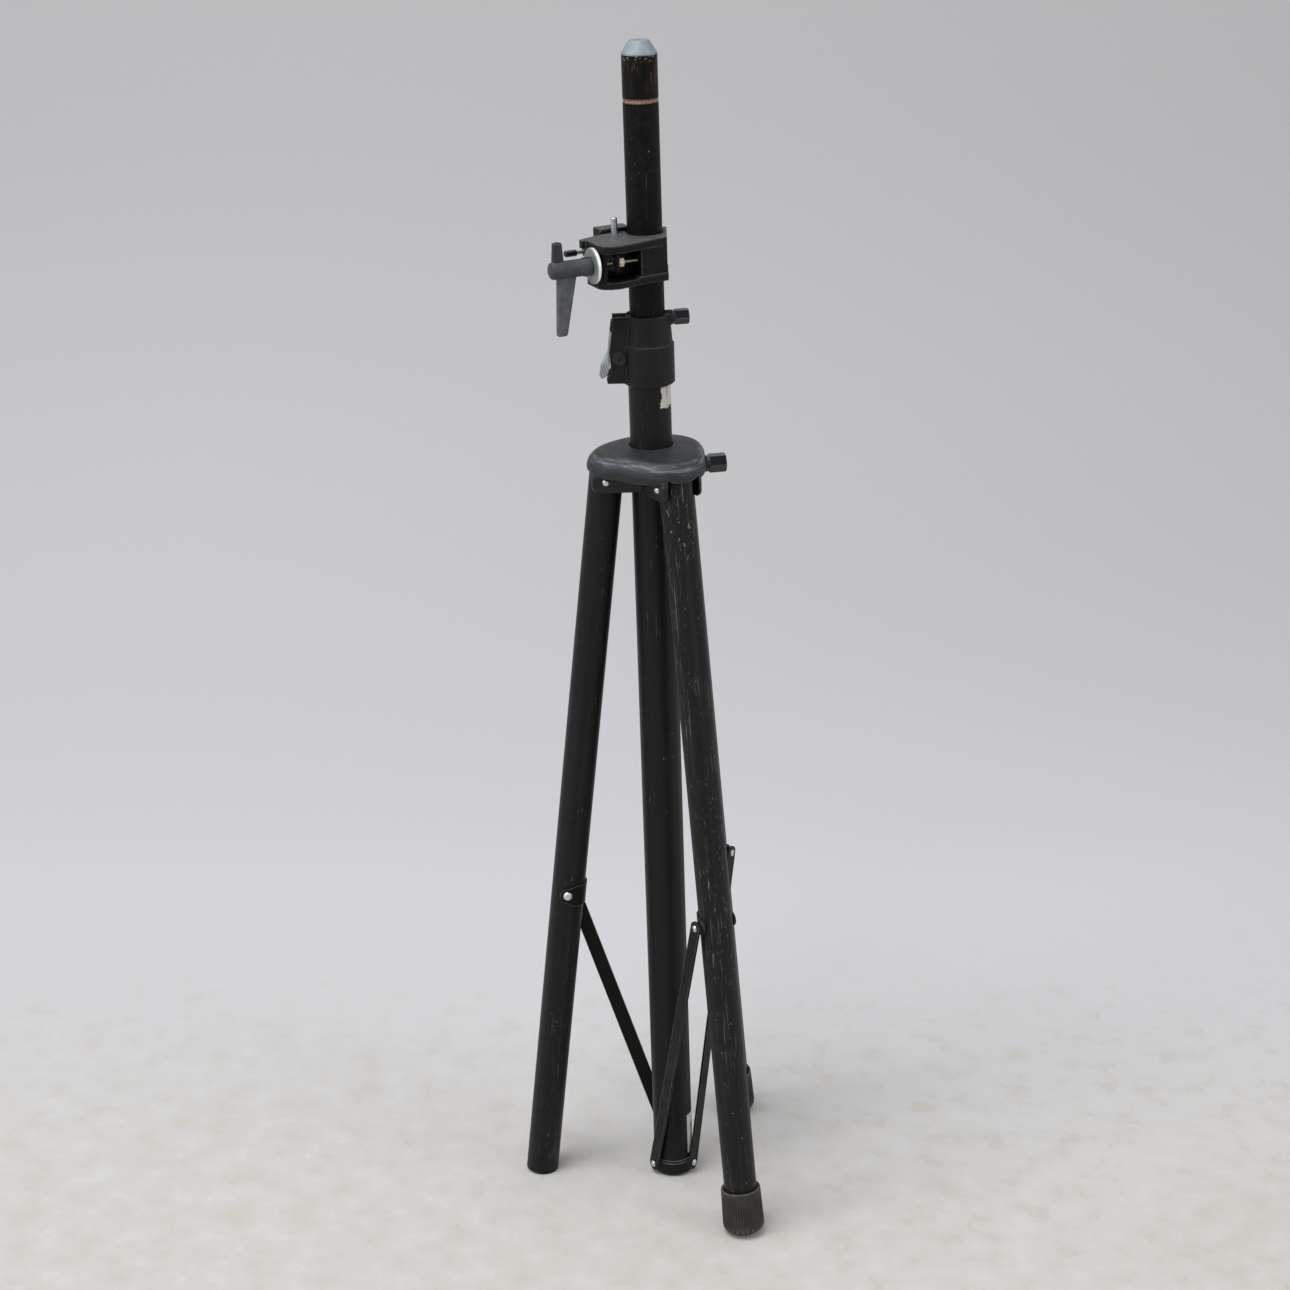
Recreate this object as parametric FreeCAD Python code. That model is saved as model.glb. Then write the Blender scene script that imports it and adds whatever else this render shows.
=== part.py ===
import FreeCAD, Part
import os
from math import asin, atan2, cos, degrees, hypot, pi, radians, sin, sqrt, tan

# Folding tripod stand: three round legs on a cast crown, a lower mast tube with a locking
# collar, a sliding upper tube, and a screw clamp with a camera stud gripping the upper tube.
# Millimetres, +Z up. Everything is drawn upright about the mast axis, then the whole stand is
# leaned as it stands: the left leg has lost its rubber foot, so the stand leans that way.

V = FreeCAD.Vector

# ---- driving dimensions -------------------------------------------------------------------
# legs
LEG_NAMES = ("left", "front", "rear")
LEG_AZIMUTHS = {"left": 180.0, "front": -60.0, "rear": 60.0}
FOOTED_LEGS = ("front", "rear")
LEG_DIAMETER = 35.0
LEG_WALL = 1.5
LEG_LENGTH = 810.2              # pivot to the bare tube end
LEG_HEAD = 7.0                  # tube above the pivot
LEG_SPREAD = 7.11               # leg angle from the mast as the stand is set
LEG_SPREAD_OPEN = 30.0          # leg angle when fully opened
LEG_SPREAD_FOLDED = 0.3         # leg angle when the feet rest against the folded braces
PIVOT_HEIGHT = 808.2

# rubber feet
FOOT_HEIGHT = 50.0
FOOT_RIM_WALL = 3.7             # wall at the top of the foot
FOOT_BASE_WALL = 4.8            # wall above the sole's edge
FOOT_SOLE = 7.4                 # rubber below the tube end
FOOT_DOME_RADIUS = 110.0
FOOT_RIM_GAP = 1.1
FOOT_RIM_GAP_DEPTH = 4.0
FOOT_EDGE = 6.0

# braces
BRACKET_DISTANCE = 465.2        # leg pivot to brace pivot, along the leg
BRACE_WIDTH = 15.0
BRACE_THICKNESS = 2.5
STRAP_THICKNESS = 2.0
STRAP_HEIGHT = 24.0
STRAP_EAR_RADIUS = 8.3
SPACER_RADIUS = 6.0

# pins and rivets
PIN_RADIUS = 2.5
PIN_CLEARANCE = 0.08            # running clearance of a pin or screw in its hole
PIVOT_HEAD_RADIUS = 4.0
BRACE_HEAD_RADIUS = 3.8
STRAP_HEAD_RADIUS = 4.8
HEAD_HEIGHT = 2.4
HEAD_GAP = 0.1
SIDE_GAP = 0.3                  # between flat faces that move past each other

# lower mast tube and its end cap
MAST_DIAMETER = 42.4
MAST_WALL = 1.5
MAST_BOTTOM = 18.0
MAST_ABOVE_CROWN = 108.8
HUB_DEPTH = 18.4                # cap below the end of the mast
HUB_LIP = 1.2                   # cap beyond the mast's surface
HUB_PIVOT_DROP = 7.6            # brace pivots below the end of the mast
HUB_SPIGOT = 14.0
HUB_BOSS_RADIUS = 6.5
HUB_BOSS_FACE = 1.0             # boss beyond the cap's surface
HUB_EDGE = 2.5
HUB_GROOVE = 0.8
SPIGOT_CLEARANCE = 0.1
LABEL_THICKNESS = 0.2
LABEL_RISE = 5.5                # label above the end of the mast
LABEL_HEIGHT = 48.0
LABEL_AZIMUTH = -16.0
LABEL_ARC = 50.0

# crown casting
CROWN_CORNER_RADIUS = 42.0
CROWN_ARM = 24.0                # corner centres from the mast axis
PIVOT_FROM_CORNER = 22.6        # leg pivots outwards from the corner centres
CROWN_DEPTH = 27.6              # top to rim
CROWN_TOP_ROUND = 16.0
CROWN_DOME_RADIUS = 230.0       # gentle crowning of the top face
CROWN_RIM_ROUND = 6.5
CROWN_WALL = 4.5
CROWN_BORE_GAP = 1.1            # dark running gap seen round the mast
CROWN_LIP = 3.0
EAR_THICKNESS = 4.0
EAR_GAP = 0.7                   # leg tube to ear
EAR_BELOW_PIVOT = 11.2
EAR_ROUND = 6.0
LEG_SWEEP_GAP = 0.9
LEG_STOP_MARGIN = 1.5           # degrees kept free beyond the open stop
SLEEVE_WALL = 2.1
BUSH_WALL = 2.9
BUSH_LENGTH = 20.0
BUSH_SEAT_GAP = 0.3
BUSH_ABOVE_SLOT = 2.6           # bush above the end of its slot for the lock screw

# crown lock knob
CROWN_KNOB_TURN = 10.0          # knob from the middle of the right side, towards the back
CROWN_KNOB_RISE = 7.2           # knob axis above the leg pivots
CROWN_KNOB_GAP = 4.2            # crown's flat side to the knob
CROWN_KNOB_LENGTH = 17.5
CROWN_KNOB_ACROSS = 17.4
CROWN_KNOB_NECK = 2.0
CROWN_BOSS_RADIUS = 8.4
KNOB_NECK_SHARE = 0.94          # knob neck's width as a share of the knob's
SCREW_RADIUS = 3.0
SCREW_TIP_GAP = 0.15
SLOT_SIDE_GAP = 0.8

# upper tube
UPPER_DIAMETER = 35.0
UPPER_WALL = 1.5
UPPER_OVERLAP = 607.8           # tube still inside the mast
UPPER_LENGTH = 887.5
CAP_HEIGHT = 13.0
CAP_FLAT_RADIUS = 9.8
CAP_FLANGE = 1.6
CAP_SPIGOT = 24.0
END_BUSH_LENGTH = 30.0
RING_DROP = 41.5                # shallow groove below the tube's top
RING_WIDTH = 4.5
RING_DEPTH = 0.3

# locking collar
COLLAR_OVERLAP = 44.3           # collar below the mast's top
COLLAR_RISE = 25.7              # collar above the mast's top
COLLAR_SKIRT = 40.5             # height of the wider lower part
COLLAR_WALL = 4.7               # casting over the mast
COLLAR_STEP_IN = 1.4
COLLAR_TAPER = 2.2
COLLAR_LIP = 3.5
COLLAR_BUSH_WALL = 1.9
CHEEK_HALF_WIDTH = 13.0
CHEEK_TOP_DROP = 1.5            # cheeks below the collar's top
CHEEK_TOP_ROUND = 3.0
LEVER_SLOT_GAP = 0.4            # lever to cheek, each side
LEVER_HALF_WIDTH = 5.3
CAM_PIN_OUT = 2.1               # cam pin outwards from the collar's surface
CAM_PIN_DROP = 9.5              # cam pin below the collar's top
CAM_HEAD_RADIUS = 6.4
CAM_TAB_OVERHANG = 1.9          # finger tab wider than the lever, each side
TAB_GROOVE_RADIUS = 0.5
# side outlines, as (out from the collar's surface, down from its top)
CHEEK_OUTLINE = ((9.0, 9.5), (10.6, 20.5), (13.1, 36.9), (11.9, 50.5), (12.6, 57.5), (16.3, 62.8),
                 (15.5, 67.5), (-1.1, 67.8), (-6.0, 70.0), (-12.0, 70.0))
CAM_ARM_OUTLINE = ((4.1, 5.0), (10.7, 5.9), (11.1, 9.9), (13.0, 21.0), (14.6, 36.0), (21.7, 51.0),
                   (17.1, 53.5), (11.5, 37.0), (8.9, 20.5), (4.1, 15.3))
CAM_TAB_OUTLINE = ((17.6, 43.0), (22.0, 51.3), (23.8, 60.5), (21.7, 63.8), (17.6, 62.6),
                   (14.2, 57.6), (13.0, 50.5), (14.1, 41.0))
TAB_GROOVES = ((24.0, 60.9), (23.75, 58.8), (23.5, 56.7), (23.25, 54.6))
SHOE_HEIGHT = 16.0
BOLT_OUT = 2.8                  # bolt outwards from the collar's surface
BOLT_DROP = 42.2                # bolt below the collar's top
BOLT_HEAD_RADIUS = 5.0
BOLT_BOSS_RADIUS = 6.6
BOLT_BOSS = 2.6
HEX_SOCKET = 4.0
NUT_ACROSS = 8.0
NUT_HEIGHT = 4.0

# collar lock knob
COLLAR_KNOB_AZIMUTH = 11.0
COLLAR_KNOB_DROP = 5.8          # knob axis below the collar's top
COLLAR_KNOB_GAP = 4.6           # collar's neck to the knob
COLLAR_KNOB_LENGTH = 14.5
COLLAR_KNOB_ACROSS = 14.2
COLLAR_KNOB_NECK = 2.0
COLLAR_BOSS_RADIUS = 7.6

# tube clamp, in its own axes: p from the tube to the lever, w to the back, origin on the tube
CLAMP_AZIMUTH = 205.0
CLAMP_RISE = 38.0               # clamp above the collar
CLAMP_HEIGHT = 43.5
TOP_PLATE = 8.0
BOTTOM_PLATE = 7.0
CLAMP_TUBE_GAP = 0.3
HOOK_WALL = 4.0                 # hook's outer face to the tube
HOOK_THICKNESS = 3.7
HOOK_BACK = 11.0
CLAMP_END = 64.0                # tube axis to the washer's seat
CLAMP_FRONT = -42.5
CLAMP_TAPER = 4.5                # bottom plate's front edge set back
PLATE_BACK = 15.5
WINDOW_START = 20.0
JAW_START = 12.0
WINDOW_END_WALL = 6.5
WINDOW_MARGIN = 1.5
SPINDLE_W = -22.0
SPINDLE_RISE = 22.3             # spindle above the clamp's bottom
SPINDLE_RADIUS = 2.0
SPINDLE_TIP = 14.0
JAW_TRAVEL = 10.0
JAW_BACK_START = 8.0
JAW_BACK_LENGTH = 33.0
JAW_BACK_DEPTH = 17.5
JAW_BACK_RISE = 4.0             # back block above the clamp's top
JAW_BACK_FOOT = 1.5             # back block above the clamp's bottom
JAW_LUG = 4.2
JAW_LUG_HALF_HEIGHT = 10.0
JAW_LUG_FRONT = 9.0
JAW_NUT_LENGTH = 7.2
JAW_NUT_ACROSS = 8.5
WASHER_RADIUS = 17.4
WASHER_THICKNESS = 4.4
STUD_P = 28.5
STUD_W = 9.0
STUD_RADIUS = 3.175
STUD_LENGTH = 16.0
STUD_ROOT_RADIUS = 2.6          # stud inside the top plate
STUD_CHAMFER = 0.6

# ratchet lever, measured along the spindle from the washer's outer face
LEVER_BARREL_RADIUS = 8.6
LEVER_BARREL_LENGTH = 42.7
LEVER_BORE_DEPTH = 15.8
DRIVE_RADIUS = 5.0
DRIVE_MARGIN = 1.5              # spindle drive stops short of the bore's end
SPRING_CHAMBER_RADIUS = 6.8
LEVER_LIFT = 5.0
LEVER_ARM_LENGTH = 65.0
LEVER_ARM_ROOT = (14.5, 35.0)
LEVER_ARM_TIP = (27.5, 37.8)
LEVER_ARM_THICKNESS = 9.0
LEVER_ARM_TIP_THICKNESS = 6.5
LEVER_WING = (28.1, 40.2)
LEVER_WING_HEIGHT = 27.5
LEVER_CAP_LENGTH = 3.5
LEVER_SCREW_RADIUS = 2.0
LEVER_SCREW_THREAD = 8.0        # screw inside the spindle
LEVER_SCREW_REACH = 32.3        # washer to the screw's head
LEVER_SCREW_HEAD_RADIUS = 6.3
LEVER_SCREW_HEAD_HEIGHT = 4.0
SPRING_RADIUS = 4.2
SPRING_WIRE_RADIUS = 0.6
SPRING_TURNS = 5

# lock screw beside the clamp's lever
LOCK_W = 8.0
LOCK_DROP = 13.5                # lock screw below the clamp's top
LOCK_BOSS_START = 6.0           # boss starts this far inside the clamp's end
LOCK_BOSS_LENGTH = 4.0
LOCK_BOSS_RADIUS = 5.4
LOCK_SCREW_RADIUS = 2.0
LOCK_KNOB_GAP = 8.4             # boss to knob
LOCK_KNOB_LENGTH = 12.6
LOCK_KNOB_RADIUS = 3.3

# ---- values that follow ---------------------------------------------------------------------
leg_radius = LEG_DIAMETER / 2
mast_radius = MAST_DIAMETER / 2
mast_bore = mast_radius - MAST_WALL
upper_radius = UPPER_DIAMETER / 2
hole_radius = PIN_RADIUS + PIN_CLEARANCE

hub_radius = mast_radius + HUB_LIP
hub_bottom = MAST_BOTTOM - HUB_DEPTH
hub_pivot_height = MAST_BOTTOM - HUB_PIVOT_DROP
hub_face = hub_radius + HUB_BOSS_FACE
label_bottom = MAST_BOTTOM + LABEL_RISE
brace_inner = hub_face + SIDE_GAP
brace_outer = brace_inner + BRACE_THICKNESS

pivot_radius = CROWN_ARM + PIVOT_FROM_CORNER
bracket_radial = pivot_radius + BRACKET_DISTANCE * sin(radians(LEG_SPREAD))
bracket_height = PIVOT_HEIGHT - BRACKET_DISTANCE * cos(radians(LEG_SPREAD))
brace_length = hypot(bracket_radial, bracket_height - hub_pivot_height)


def brace_angle(spread):
    """Brace angle from the mast, in radians, when the legs stand at this angle from it."""
    return asin((pivot_radius + BRACKET_DISTANCE * sin(radians(spread))) / brace_length)


def hub_drop(spread):
    """Height of the leg pivots above the hub pivots at this leg angle."""
    return BRACKET_DISTANCE * cos(radians(spread)) + brace_length * cos(brace_angle(spread))


fold_drop = hub_drop(LEG_SPREAD_FOLDED) - hub_drop(LEG_SPREAD)

knob_side = (LEG_AZIMUTHS["front"] + LEG_AZIMUTHS["rear"]) / 2
knob_side_half = (LEG_AZIMUTHS["rear"] - LEG_AZIMUTHS["front"]) / 2
crown_knob_azimuth = knob_side + CROWN_KNOB_TURN
crown_flat = CROWN_ARM * cos(radians(knob_side_half)) + CROWN_CORNER_RADIUS
crown_knob_start = crown_flat + CROWN_KNOB_GAP
crown_knob_height = PIVOT_HEIGHT + CROWN_KNOB_RISE
slot_half = SCREW_RADIUS + SLOT_SIDE_GAP
slot_top = crown_knob_height + fold_drop + slot_half
bush_top = slot_top + BUSH_ABOVE_SLOT
crown_top = bush_top + BUSH_SEAT_GAP + CROWN_LIP
crown_rim = crown_top - CROWN_DEPTH
ear_inner_face = leg_radius + EAR_GAP
ear_outer_face = ear_inner_face + EAR_THICKNESS
ear_low = PIVOT_HEIGHT - EAR_BELOW_PIVOT
bush_outer = mast_radius + PIN_CLEARANCE + BUSH_WALL
sleeve_bore = bush_outer + PIN_CLEARANCE
sleeve_outer = sleeve_bore + SLEEVE_WALL

mast_top = crown_top + MAST_ABOVE_CROWN
upper_bottom = mast_top - UPPER_OVERLAP
upper_top = upper_bottom + UPPER_LENGTH
cap_top = upper_top + CAP_HEIGHT
ring_top = upper_top - RING_DROP

collar_bottom = mast_top - COLLAR_OVERLAP
collar_top = mast_top + COLLAR_RISE
collar_step = collar_bottom + COLLAR_SKIRT
collar_radius = mast_radius + COLLAR_WALL
collar_neck_radius = collar_radius - COLLAR_STEP_IN
collar_bush_outer = upper_radius + PIN_CLEARANCE + COLLAR_BUSH_WALL
collar_knob_height = collar_top - COLLAR_KNOB_DROP
collar_knob_start = collar_neck_radius - COLLAR_TAPER + COLLAR_KNOB_GAP
cheek_top = collar_top - CHEEK_TOP_DROP
cam_pin_x = -collar_radius - CAM_PIN_OUT
cam_pin_height = collar_top - CAM_PIN_DROP
shoe_low = cam_pin_height - SHOE_HEIGHT / 2
lever_slot_half = LEVER_HALF_WIDTH + LEVER_SLOT_GAP
bolt_x = -collar_radius - BOLT_OUT
bolt_height = collar_top - BOLT_DROP
cheek_bottom = collar_top - max(drop for out, drop in CHEEK_OUTLINE)
bracket_bottom = min(collar_bottom, cheek_bottom)

clamp_bottom = collar_top + CLAMP_RISE
clamp_top = clamp_bottom + CLAMP_HEIGHT
spindle_height = clamp_bottom + SPINDLE_RISE
hook_face = upper_radius + HOOK_WALL
window_end = CLAMP_END - WINDOW_END_WALL
jaw_end = window_end - JAW_TRAVEL - WINDOW_MARGIN
jaw_nut_start = jaw_end - JAW_LUG - JAW_NUT_LENGTH
jaw_front = SPINDLE_W + JAW_NUT_ACROSS / sqrt(3) + SIDE_GAP
washer_face = CLAMP_END + SIDE_GAP
shoulder = washer_face + WASHER_THICKNESS
lever_barrel_end = shoulder + LEVER_BARREL_LENGTH
lever_bore_end = shoulder + LEVER_BORE_DEPTH
drive_end = lever_bore_end - DRIVE_MARGIN
lever_screw_start = drive_end - LEVER_SCREW_THREAD
lever_screw_head = shoulder + LEVER_SCREW_REACH
lock_height = clamp_top - LOCK_DROP
lock_boss_start = CLAMP_END - LOCK_BOSS_START
lock_boss_end = lock_boss_start + LOCK_BOSS_LENGTH
lock_knob_start = lock_boss_end + LOCK_KNOB_GAP
lock_knob_end = lock_knob_start + LOCK_KNOB_LENGTH


# ---- solids ---------------------------------------------------------------------------------
def cylinder(radius, start, end):
    """Round bar between two points."""
    axis = V(*end) - V(*start)
    return Part.makeCylinder(radius, axis.Length, V(*start), axis)


def upright(radius, low, high, x=0.0, y=0.0):
    return cylinder(radius, (x, y, low), (x, y, high))


def pipe(outer, inner, low, high):
    return upright(outer, low, high).cut(upright(inner, low - 1, high + 1))


def block(x0, x1, y0, y1, z0, z1):
    return Part.makeBox(x1 - x0, y1 - y0, z1 - z0, V(x0, y0, z0))


def turned(profile):
    """Solid of revolution about Z from (radius, height) points."""
    points = [V(r, 0, z) for r, z in profile]
    wire = Part.makePolygon(points + points[:1])
    return Part.Face(wire).revolve(V(0, 0, 0), V(0, 0, 1), 360)


def plate_xy(points, low, high):
    corners = [V(x, y, low) for x, y in points]
    return Part.Face(Part.makePolygon(corners + corners[:1])).extrude(V(0, 0, high - low))


def plate_xz(points, y0, y1):
    corners = [V(x, y0, z) for x, z in points]
    return Part.Face(Part.makePolygon(corners + corners[:1])).extrude(V(0, y1 - y0, 0))


def hexagon(across, length):
    """Hexagonal prism along +X from the origin, with flats above and below."""
    radius = across / sqrt(3)
    corners = [V(0, radius * cos(radians(60 * i)), radius * sin(radians(60 * i))) for i in range(7)]
    return Part.Face(Part.makePolygon(corners)).extrude(V(length, 0, 0))


def along_x(profile):
    """Solid of revolution about +X from (radius, distance) points."""
    solid = turned(profile)
    solid.rotate(V(0, 0, 0), V(0, 1, 0), 90)
    return solid


def dome_head(radius, height, start, direction):
    """Rivet head: a spherical cap sitting on a plane."""
    sphere_radius = (radius * radius + height * height) / (2 * height)
    cap = Part.makeSphere(sphere_radius, V(0, 0, height - sphere_radius))
    cap = cap.common(upright(radius, 0, height + 1))
    cap.Placement = FreeCAD.Placement(V(*start), FreeCAD.Rotation(V(0, 0, 1), V(*direction)))
    return cap


def fuse(*solids):
    return solids[0].multiFuse(list(solids[1:])).removeSplitter()


def cut(solid, *tools):
    return solid.cut(list(tools)).removeSplitter()


def swing(solid, azimuth):
    """Turn a copy about the mast axis."""
    turned_copy = solid.copy()
    turned_copy.rotate(V(0, 0, 0), V(0, 0, 1), azimuth)
    return turned_copy


def edges_where(solid, test):
    return [e for e in solid.Edges if test(e)]


def flat_at(height):
    """Test for edges that lie in one horizontal plane."""
    def test(edge):
        box = edge.BoundBox
        return abs(box.ZMin - height) < 0.01 and abs(box.ZMax - height) < 0.01
    return test


# ---- legs: bench frame has the pivot at the origin and the leg hanging along -Z; +X is away
# from the mast and -Y is the clockwise side ---------------------------------------------------
def lean_leg(solid, azimuth):
    """Hang a bench part on its pivot at the set spread."""
    placed = solid.copy()
    placed.rotate(V(0, 0, 0), V(0, 1, 0), -LEG_SPREAD)
    placed.translate(V(pivot_radius, 0, PIVOT_HEIGHT))
    return swing(placed, azimuth)


def leg_tube():
    tube = pipe(leg_radius, leg_radius - LEG_WALL, -LEG_LENGTH, LEG_HEAD)
    pivot_hole = cylinder(hole_radius, (0, -leg_radius - 1, 0), (0, leg_radius + 1, 0))
    bracket_hole = pivot_hole.copy()
    bracket_hole.translate(V(0, 0, -BRACKET_DISTANCE))
    return cut(tube, pivot_hole, bracket_hole)


def leg_strap():
    """Bent steel strap round the inner side of the leg, with an ear on each side."""
    z = -BRACKET_DISTANCE
    outer = leg_radius + STRAP_THICKNESS
    reach = STRAP_EAR_RADIUS + 1
    half = STRAP_HEIGHT / 2
    ring = upright(outer, z - half, z + half)
    ears = block(0, reach, -outer, outer, z - half, z + half)
    inside = upright(leg_radius, z - half - 1, z + half + 1)
    gap = block(0, reach + 1, -leg_radius, leg_radius, z - half - 1, z + half + 1)
    outline = fuse(
        plate_xz([(-outer, z - half), (-leg_radius / 2, z - half), (0, z - STRAP_EAR_RADIUS),
                  (0, z + STRAP_EAR_RADIUS), (-leg_radius / 2, z + half), (-outer, z + half)],
                 -outer - 1, outer + 1),
        cylinder(STRAP_EAR_RADIUS, (0, -outer - 1, z), (0, outer + 1, z)))
    strap = cut(fuse(ring, ears), inside, gap).common(outline)
    spacer = cylinder(SPACER_RADIUS, (0, -outer + 0.5, z), (0, -brace_inner + SIDE_GAP, z))
    hole = cylinder(hole_radius, (0, -brace_outer, z), (0, brace_outer, z))
    return cut(fuse(strap, spacer), hole)


def rubber_foot():
    """Moulded cap: straight socket for the tube, flared open rim, domed sole."""
    bottom = -LEG_LENGTH - FOOT_SOLE
    top = bottom + FOOT_HEIGHT
    rim = leg_radius + FOOT_RIM_WALL
    wide = leg_radius + FOOT_BASE_WALL
    body = turned([(0, bottom), (wide, bottom), (wide, bottom + FOOT_EDGE + 2), (rim, top), (0, top)])
    dome = Part.makeSphere(FOOT_DOME_RADIUS, V(0, 0, bottom + FOOT_DOME_RADIUS))
    body = body.common(fuse(dome, upright(wide + 1, bottom + FOOT_DOME_RADIUS / 2, top + 1)))
    lower_edge = edges_where(body, lambda e: e.BoundBox.ZMax < bottom + FOOT_EDGE
                             and e.BoundBox.XLength > 2 * wide - 1)
    body = body.makeFillet(FOOT_EDGE - 2, lower_edge)
    socket = upright(leg_radius, -LEG_LENGTH, top + 1)
    flare = upright(leg_radius + FOOT_RIM_GAP, top - FOOT_RIM_GAP_DEPTH, top + 1)
    return cut(body, socket, flare)


def pivot_pin():
    """Rivet through the crown's ears and the leg."""
    reach = ear_outer_face + HEAD_GAP
    shank = cylinder(PIN_RADIUS, (0, -reach, 0), (0, reach, 0))
    heads = [dome_head(PIVOT_HEAD_RADIUS, HEAD_HEIGHT, (0, side * reach, 0), (0, side, 0))
             for side in (-1, 1)]
    return fuse(shank, *heads)


def brace_pin():
    """Rivet through the strap, the leg and the top of the brace."""
    z = -BRACKET_DISTANCE
    far = leg_radius + STRAP_THICKNESS + HEAD_GAP
    near = brace_outer + HEAD_GAP
    shank = cylinder(PIN_RADIUS, (0, -near, z), (0, far, z))
    big_head = dome_head(STRAP_HEAD_RADIUS, HEAD_HEIGHT, (0, far, z), (0, 1, 0))
    small_head = dome_head(BRACE_HEAD_RADIUS, HEAD_HEIGHT, (0, -near, z), (0, -1, 0))
    return fuse(shank, big_head, small_head)


# ---- braces: drawn hanging straight down from the bracket pivot ------------------------------
def lean_brace(solid, azimuth):
    placed = solid.copy()
    placed.rotate(V(0, 0, 0), V(0, 1, 0), degrees(brace_angle(LEG_SPREAD)))
    placed.translate(V(bracket_radial, 0, bracket_height))
    return swing(placed, azimuth)


def brace_bar():
    half = BRACE_WIDTH / 2
    bar = block(-half, half, -brace_outer, -brace_inner, -brace_length, 0)
    ends = [cylinder(half, (0, -brace_outer, z), (0, -brace_inner, z)) for z in (0, -brace_length)]
    top_hole = cylinder(hole_radius, (0, -brace_outer - 1, 0), (0, -brace_inner + 1, 0))
    rivet_hole = cylinder(PIN_RADIUS, (0, -brace_outer - 1, -brace_length),
                          (0, -brace_inner + 1, -brace_length))
    return cut(fuse(bar, *ends), top_hole, rivet_hole)


def hub_rivet():
    """Rivet fixed in the brace's lower eye; its head shows outside."""
    z = -brace_length
    shank = cylinder(PIN_RADIUS, (0, -brace_outer, z), (0, -brace_inner, z))
    head = dome_head(BRACE_HEAD_RADIUS, HEAD_HEIGHT, (0, -brace_outer, z), (0, -1, 0))
    return fuse(shank, head)


# ---- crown ----------------------------------------------------------------------------------
def crown_outline(offset, low, high):
    """Rounded triangle, one corner over each leg."""
    radius = CROWN_CORNER_RADIUS + offset

    def corner(azimuth, turn):
        a, b = radians(azimuth), radians(azimuth + turn)
        return V(CROWN_ARM * cos(a) + radius * cos(b), CROWN_ARM * sin(a) + radius * sin(b), low)

    edges = []
    order = sorted(LEG_AZIMUTHS.values())
    following = order[1:] + [order[0] + 360]
    turns = [(there - here) / 2 for here, there in zip(order, following)]
    for i, azimuth in enumerate(order):
        first, last = -turns[i - 1], turns[i]
        arc = Part.Arc(corner(azimuth, first), corner(azimuth, (first + last) / 2), corner(azimuth, last))
        edges.append(arc.toShape())
        edges.append(Part.makeLine(corner(azimuth, last), corner(following[i], -last)))
    return Part.Face(Part.Wire(edges)).extrude(V(0, 0, high - low))


def crowned(prism, below, rounding):
    """Cap a prism with the crown's gently domed top, this far below it, and round the edge."""
    bore_drop = CROWN_DOME_RADIUS - sqrt(CROWN_DOME_RADIUS ** 2 - mast_radius ** 2)
    centre = crown_top + bore_drop - CROWN_DOME_RADIUS
    dome = Part.makeSphere(CROWN_DOME_RADIUS - below, V(0, 0, centre))
    capped = prism.common(dome)
    rim = edges_where(capped, lambda e: e.BoundBox.ZMin > crown_rim + 1 and e.BoundBox.ZLength < 15
                      and e.BoundBox.DiagonalLength > 5)
    return capped.makeFillet(rounding, rim)


def crown_ears():
    """Two walls each side of one leg, drawn at azimuth 0; they meet the next leg's at the sleeve."""
    reach = CROWN_ARM + CROWN_CORNER_RADIUS
    root = sleeve_bore / 2
    ears = []
    for side in (-1, 1):
        y0, y1 = sorted((side * ear_inner_face, side * ear_outer_face))
        ears.append(block(root, reach, y0, y1, ear_low, crown_top))
    return ears


def leg_sweep():
    """Space that one leg needs under the crown between folded and fully open, at azimuth 0."""
    swing_radius = hypot(leg_radius, LEG_HEAD) + LEG_SWEEP_GAP
    half = ear_inner_face
    side = leg_radius + LEG_SWEEP_GAP
    open_angle = radians(LEG_SPREAD_OPEN + LEG_STOP_MARGIN)
    inner = pivot_radius - side
    low = ear_low - 10
    outer_x = pivot_radius + side * cos(open_angle)
    outer_z = PIVOT_HEIGHT + side * sin(open_angle)
    foot_x = outer_x + (outer_z - low) * tan(open_angle)
    wedge = plate_xz([(inner, PIVOT_HEIGHT), (inner, low), (foot_x, low), (outer_x, outer_z),
                      (pivot_radius, PIVOT_HEIGHT)], -half, half)
    head = cylinder(swing_radius, (pivot_radius, -half, PIVOT_HEIGHT), (pivot_radius, half, PIVOT_HEIGHT))
    return fuse(wedge, head)


def knob_bore(azimuth, height, radius, start, end):
    return swing(cylinder(radius, (start, 0, height), (end, 0, height)), azimuth)


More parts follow.
